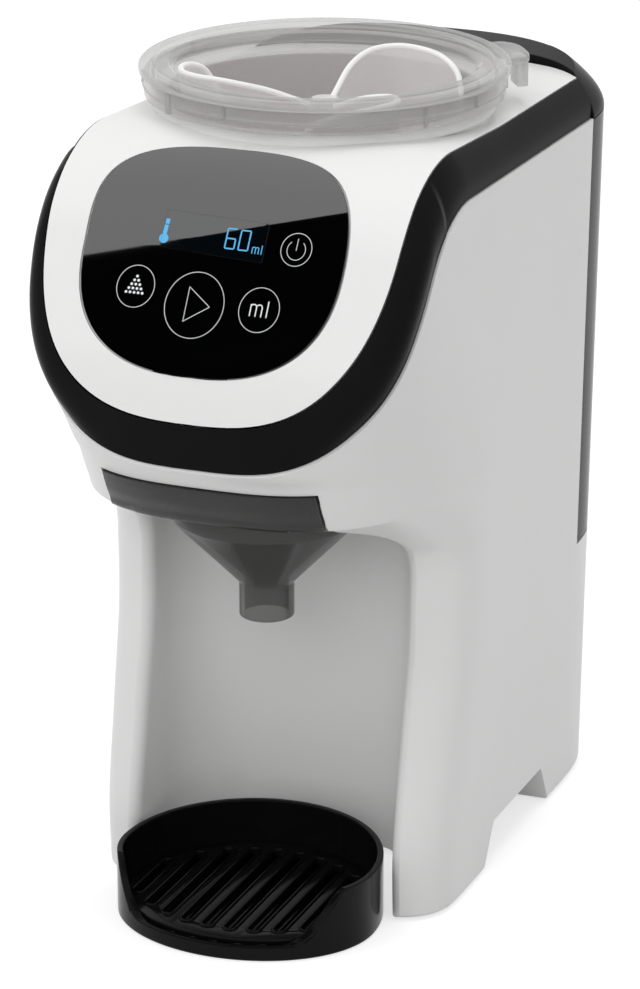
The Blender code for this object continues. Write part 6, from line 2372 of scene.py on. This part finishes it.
@dataclass
class WaterTank:
    """The smoked tank at the rear and its black lid."""

    body: BodyForm
    base: float = 0.1003
    base_round: float = 0.0012
    wall: float = 0.0024
    floor: float = 0.0026
    chamfer_in: float = 0.0088
    rear_in: float = 0.0085
    top_power: float = 3.7
    dome_top: float = 0.2947
    dome_fall: float = 0.0082
    dome_power: float = 2.8
    hollow_rise: float = 0.0120
    hollow_overrun: float = 0.0030
    skirt_depth: float = 0.0060
    skirt_root: float = 0.0014
    skirt_clearance: float = 0.0007
    skirt_wall: float = 0.0018
    valve_y: float = 0.1150
    valve_radius: float = 0.0050
    valve_travel: float = 0.0025

    @property
    def lid_base(self) -> float:
        """Height of the lid's lower edge."""
        return self.body.band_height - self.body.fall * (self.body.tank_front_y - self.body.head_cut_y) + 0.0003

    @property
    def top(self) -> float:
        """Height of the tank's rim."""
        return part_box("water_tank")[1].z

    def rear_round(self, half: float, reach: float, power: float, offset: float) -> tuple[float, Ring]:
        """The rear of a plan, up to where it meets the curved front.

        Args:
            half: Half width of the plan.
            reach: Depth of the rear's round.
            power: Power of the rear's round.
            offset: How far the front lies behind the dock's wall.

        Returns:
            Half width at which both meet, and the rear from right to left, in plan.
        """
        body = self.body
        edge = half
        for _ in range(40):
            y = body.tank_arc(edge, offset)
            edge = half * power_curve(max(y - body.rear_start, 0.0) / reach, power)
        share = (body.tank_arc(edge, offset) - body.rear_start) / reach
        first = math.asin(min(1.0, share ** (power / 2)))
        line = []
        for i in range(401):
            c, s = on_circle(1.0, mix(first, math.pi - first, i / 400))
            line.append(Vector((half * signed_power(c, 2 / power), body.rear_start + reach * s ** (2 / power), 0.0)))
        return edge, line

    def ring(self, height: float, inset: float) -> Ring:
        """The tank's plan: a curved front and the body's rear round.

        Args:
            height: Level of the plan.
            inset: How far it lies inside the tank's skin.

        Returns:
            Points all round, from the front's left.
        """
        body = self.body
        offset = body.gap + inset
        edge, line = self.rear_round(body.half_at(height) - inset, body.rear_reach - inset, body.rear_power, offset)
        places = [mix(-edge, edge, i / 40) for i in range(41)]
        ring = [Vector((x, body.tank_arc(x, offset), height)) for x in places]
        return ring + [Vector((p.x, p.y, height)) for p in even(line, 111)[1:-1]]

    def vessel(self) -> bpy.types.Object:
        """The tank.

        Returns:
            The finished piece.
        """
        turns = [on_circle(self.base_round, math.pi / 2 * i / 3) for i in range(4)]
        rings = [self.ring(self.base + self.base_round - c, self.base_round - s) for c, s in turns]
        rings += [self.ring(mix(self.base + self.base_round, self.top, i / 14), 0.0) for i in range(1, 15)]
        item = Bench.solid("tank_vessel", rings)
        inside = [self.ring(mix(self.base + self.floor, self.top + 0.003, i / 8), self.wall) for i in range(9)]
        Bench.work(item, Bench.solid("tank_inside", inside))
        Bench.work(item, Bench.rod("valve_hole", self.valve_radius, self.base - 0.001,
                                   self.base + self.floor + 0.001, (0.0, self.valve_y)))
        return Bench.tidy(item, 34.0, 0.0, True)

    def lid_outline(self, share: float, count: int = 96) -> tuple[Ring, Ring]:
        """Front and rear edges of the lid's plan, drawn in by a share of its chamfer.

        Args:
            share: Share of the chamfer by which the sides and rear draw in.
            count: Spans of each edge.

        Returns:
            The front edge and the rear edge, both from left to right, in plan.
        """
        body = self.body
        edge, line = self.rear_round(body.half_top - self.chamfer_in * share, body.rear_reach - self.rear_in * share,
                                     mix(body.rear_power, self.top_power, share), body.gap)
        places = [mix(-edge, edge, 0.5 - 0.5 * math.cos(math.pi * i / count)) for i in range(count + 1)]
        front = [Vector((x, body.tank_arc(x, body.gap), 0.0)) for x in places]
        return front, even(line[::-1], count + 1)

    def lid_height(self, x: float) -> float:
        """Height of the lid's low dome."""
        return self.dome_top - self.dome_fall * (abs(x) / self.body.half_top) ** self.dome_power

    def lid(self) -> bpy.types.Object:
        """The lid: convex sides and rear, a low dome, an upright front and a skirt.

        Returns:
            The finished piece.
        """
        base = self.lid_base
        rings: list[Ring] = []
        for t in (i / 14 for i in range(15)):
            front, rear = self.lid_outline(t * t)
            rings.append([Vector((p.x, p.y, mix(base, self.lid_height(p.x), t))) for p in front + rear[-2:0:-1]])
        front, rear = self.lid_outline(1.0)
        for i in range(1, 13):
            spots = front + [a.lerp(b, i / 12) for a, b in zip(rear[-2:0:-1], front[-2:0:-1])]
            rings.append([Vector((p.x, p.y, self.lid_height(p.x))) for p in spots])
        item = Bench.solid("tank_cover", rings)
        Bench.soft_edges(item, 0.0006, 38.0, 3)
        inset = self.wall + self.skirt_clearance
        inner = inset + self.skirt_wall
        low = base - self.skirt_depth
        skirt = ((low, inset), (base + self.skirt_root, inset))
        hollow = ((low - self.hollow_overrun, inner), (base, inner),
                  (base + self.hollow_rise, inner + self.chamfer_in))
        for name, rows, how in (("skirt", skirt, Operation.FUSE), ("hollow", hollow, Operation.CUT)):
            grid = [[Vector((p.x, p.y, height)) for p in self.ring(base, amount)] for height, amount in rows]
            Bench.work(item, Bench.solid(name, grid), how)
        return Bench.tidy(item, 30.0, 0.0, True)

    def spring(self) -> bpy.types.Object:
        """The valve's spring, a smoothed copy of its solid."""
        item = Bench.copy(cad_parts["valve_spring"], "valve_coil", Matrix.Identity(4))
        return Bench.tidy(item, 60.0, MERGE)

    def dress(self) -> None:
        """Build the tank and lid and hand them over."""
        coil = hand_over(self.spring(), STEEL, "tank", ["valve_spring"])
        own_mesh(coil)
        hand_over(self.vessel(), SMOKED, "tank", ["water_tank"])
        hand_over(self.lid(), BLACK_TRIM, "tank_cap", ["tank_lid"])


@dataclass
class CarriedNodes:
    """The solids that are shown as they are, each with its own finish."""

    finishes: dict[Finish, tuple[str, ...]] = field(default_factory=lambda: {
        RUBBER: ("foot_0", "foot_1", "foot_2", "foot_3", "socket_seal"),
        STEEL: ("hatch_screw_0", "hatch_screw_1", "hatch_screw_2", "hatch_screw_3", "gear_motor", "water_heater",
                "transformer"),
        BOARD: ("display_board", "power_board", "control_board"),
        MATT_BLACK: ("display_unit", "water_nozzle", "tank_valve", "tank_socket", "water_pump", "mains_inlet"),
        NYLON: ("gear_plate", "drive_gear", "motor_pinion"),
        # The valve cage shares the frosted finish and its painted glow.
        FROSTED: ("valve_cage",),
        ALUMINIUM: ("heater_bracket",),
        SILICONE: ("hose_tank", "hose_pump", "hose_nozzle"),
    })

    def dress(self) -> None:
        """Give every node that stays its finish, white where none is named."""
        finish_of = {name: finish for finish, names in self.finishes.items() for name in names}
        for name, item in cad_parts.items():
            item.data.materials.clear()
            item.data.materials.append(finish_of.get(name, WHITE).make())
        log.info("carried nodes with a finish of their own: %d", len(finish_of))


class Lamp(Enum):
    """The soft lamps of the studio: place, width, power."""

    KEY = ((-1.35, -1.25, 2.45), 1.6, 13.0)
    TOP = ((0.20, 0.05, 2.7), 1.4, 17.0)
    FRONT = ((0.30, -2.30, 1.45), 1.6, 13.0)


@dataclass
class Studio:
    """The camera, the plain lamps, the pale floor and the dark card."""

    azimuth: float = 0.3771699
    pitch: float = 0.3306756
    focal: float = 4425.22
    centre: Flat = (327.190, 469.320)
    frame_size: Flat = (640.0, 989.0)
    place: Colour = (0.5834, -1.4712, 0.6939)
    sensor: float = 36.0
    ambient: float = 0.51
    floor_radius: float = 9.0
    card_half: float = 0.080
    card_start: float = 0.0060
    card_distance: float = 0.45
    gloss_edge: tuple[Flat, Flat, Flat] = ((-0.05075, 0.0557), (-0.00797, 0.0673), (0.04387, 0.0824))

    def camera(self) -> None:
        """The camera at the photograph's angle."""
        data = bpy.data.cameras.new("camera")
        data.sensor_fit = "AUTO"
        data.sensor_width = self.sensor
        long_side = max(self.frame_size)
        data.lens = self.focal / long_side * self.sensor
        data.shift_x = (self.frame_size[0] / 2 - self.centre[0]) / long_side
        data.shift_y = (self.centre[1] - self.frame_size[1] / 2) / long_side
        data.clip_start = 0.05
        data.clip_end = 60.0
        item = bpy.data.objects.new("camera", data)
        bpy.context.scene.collection.objects.link(item)
        sine, cosine = math.sin(self.azimuth), math.cos(self.azimuth)
        rise, level = math.sin(self.pitch), math.cos(self.pitch)
        right = Vector((cosine, sine, 0.0))
        up = Vector((-sine * rise, cosine * rise, level))
        back = -Vector((-sine * level, cosine * level, -rise))
        turn = Matrix((right, up, back)).transposed().to_4x4()
        item.matrix_world = Matrix.Translation(self.place) @ turn
        bpy.context.scene.camera = item

    def world(self) -> None:
        """White for what is seen directly or in a gloss, a soft level for the rest."""
        world = bpy.data.worlds.new("studio")
        bpy.context.scene.world = world
        world.use_nodes = True
        graph = Graph(world.node_tree)
        strength = self.ambient + (1.0 - self.ambient) * graph.seen()
        background = graph.node("ShaderNodeBackground", {}, {"Color": PURE_WHITE, "Strength": strength})
        graph.node("ShaderNodeOutputWorld", {}, {"Surface": background})

    def lamps(self) -> None:
        """Soft area lamps that no gloss shows."""
        for lamp in Lamp:
            place, width, power = lamp.value
            data = bpy.data.lights.new(lamp.name.lower(), "AREA")
            data.shape = "DISK"
            data.size = width
            data.energy = power
            item = bpy.data.objects.new(lamp.name.lower(), data)
            bpy.context.scene.collection.objects.link(item)
            item.location = place
            item.rotation_euler = (Vector((0.0, 0.0, 0.15)) - Vector(place)).to_track_quat("-Z", "Y").to_euler()
            item.visible_glossy = False
            item.visible_camera = False

    def floor(self) -> None:
        """A pale floor that keeps the machine's shadow."""
        Bench.clear()
        bpy.ops.mesh.primitive_circle_add(vertices=96, radius=self.floor_radius, fill_type="NGON", location=(0, 0, 0))
        item = bpy.context.object
        item.name = "floor"
        item.data.materials.append(PaleFloor().make())

    def card(self) -> None:
        """A dark sheet off camera whose edge shows in the panel's gloss."""
        item = Bench.lattice("dark_card", self.card_grid())
        item.data.materials.append(DeadBlack().make())
        item.visible_camera = False
        item.visible_diffuse = False
        item.visible_transmission = False
        item.visible_shadow = False

    def card_grid(self) -> list[Ring]:
        """Points of the sheet, each where a place on the panel mirrors it.

        Returns:
            Rows of points, one row for each place across the panel.
        """
        face = FaceForm(BodyForm())
        eye = Vector(self.place)
        (x0, r0), (x1, r1), (x2, r2) = self.gloss_edge
        grid = []
        for i in range(41):
            x = mix(-self.card_half, self.card_half, i / 40)
            near = (x - x1) * (x - x2) / ((x0 - x1) * (x0 - x2)) * r0
            near += (x - x0) * (x - x2) / ((x1 - x0) * (x1 - x2)) * r1
            near += (x - x0) * (x - x1) / ((x2 - x0) * (x2 - x1)) * r2
            row = []
            for k in range(25):
                run = mix(self.card_start, near, k / 24)
                spot = face.point(x, run)
                out = face.normal(run)
                ray = (spot - eye).normalized()
                row.append(spot + (ray - out * 2 * ray.dot(out)) * self.card_distance)
            grid.append(row)
        return grid

    def dress(self) -> None:
        """Set up the whole studio."""
        self.camera()
        self.world()
        self.lamps()
        self.floor()
        self.card()
        scene = bpy.context.scene
        scene.view_settings.view_transform = "Standard"
        log.info("studio ready")


def main() -> None:
    """Build every piece round the frame, dress it, and set up the studio."""
    logging.basicConfig(level=logging.INFO, format="%(name)s: %(message)s")
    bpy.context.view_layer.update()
    body = BodyForm()
    face = FaceForm(body)
    shell = MainShell(body)
    CarriedNodes().dress()
    shell.dress()
    HeadCover(body, face).dress()
    PanelMarks(face).dress()
    PowderContainer().dress()
    FunnelDrawer(shell).dress()
    DripTray().dress()
    WaterTank(body).dress()
    Studio().dress()


if __name__ == "__main__":
    main()
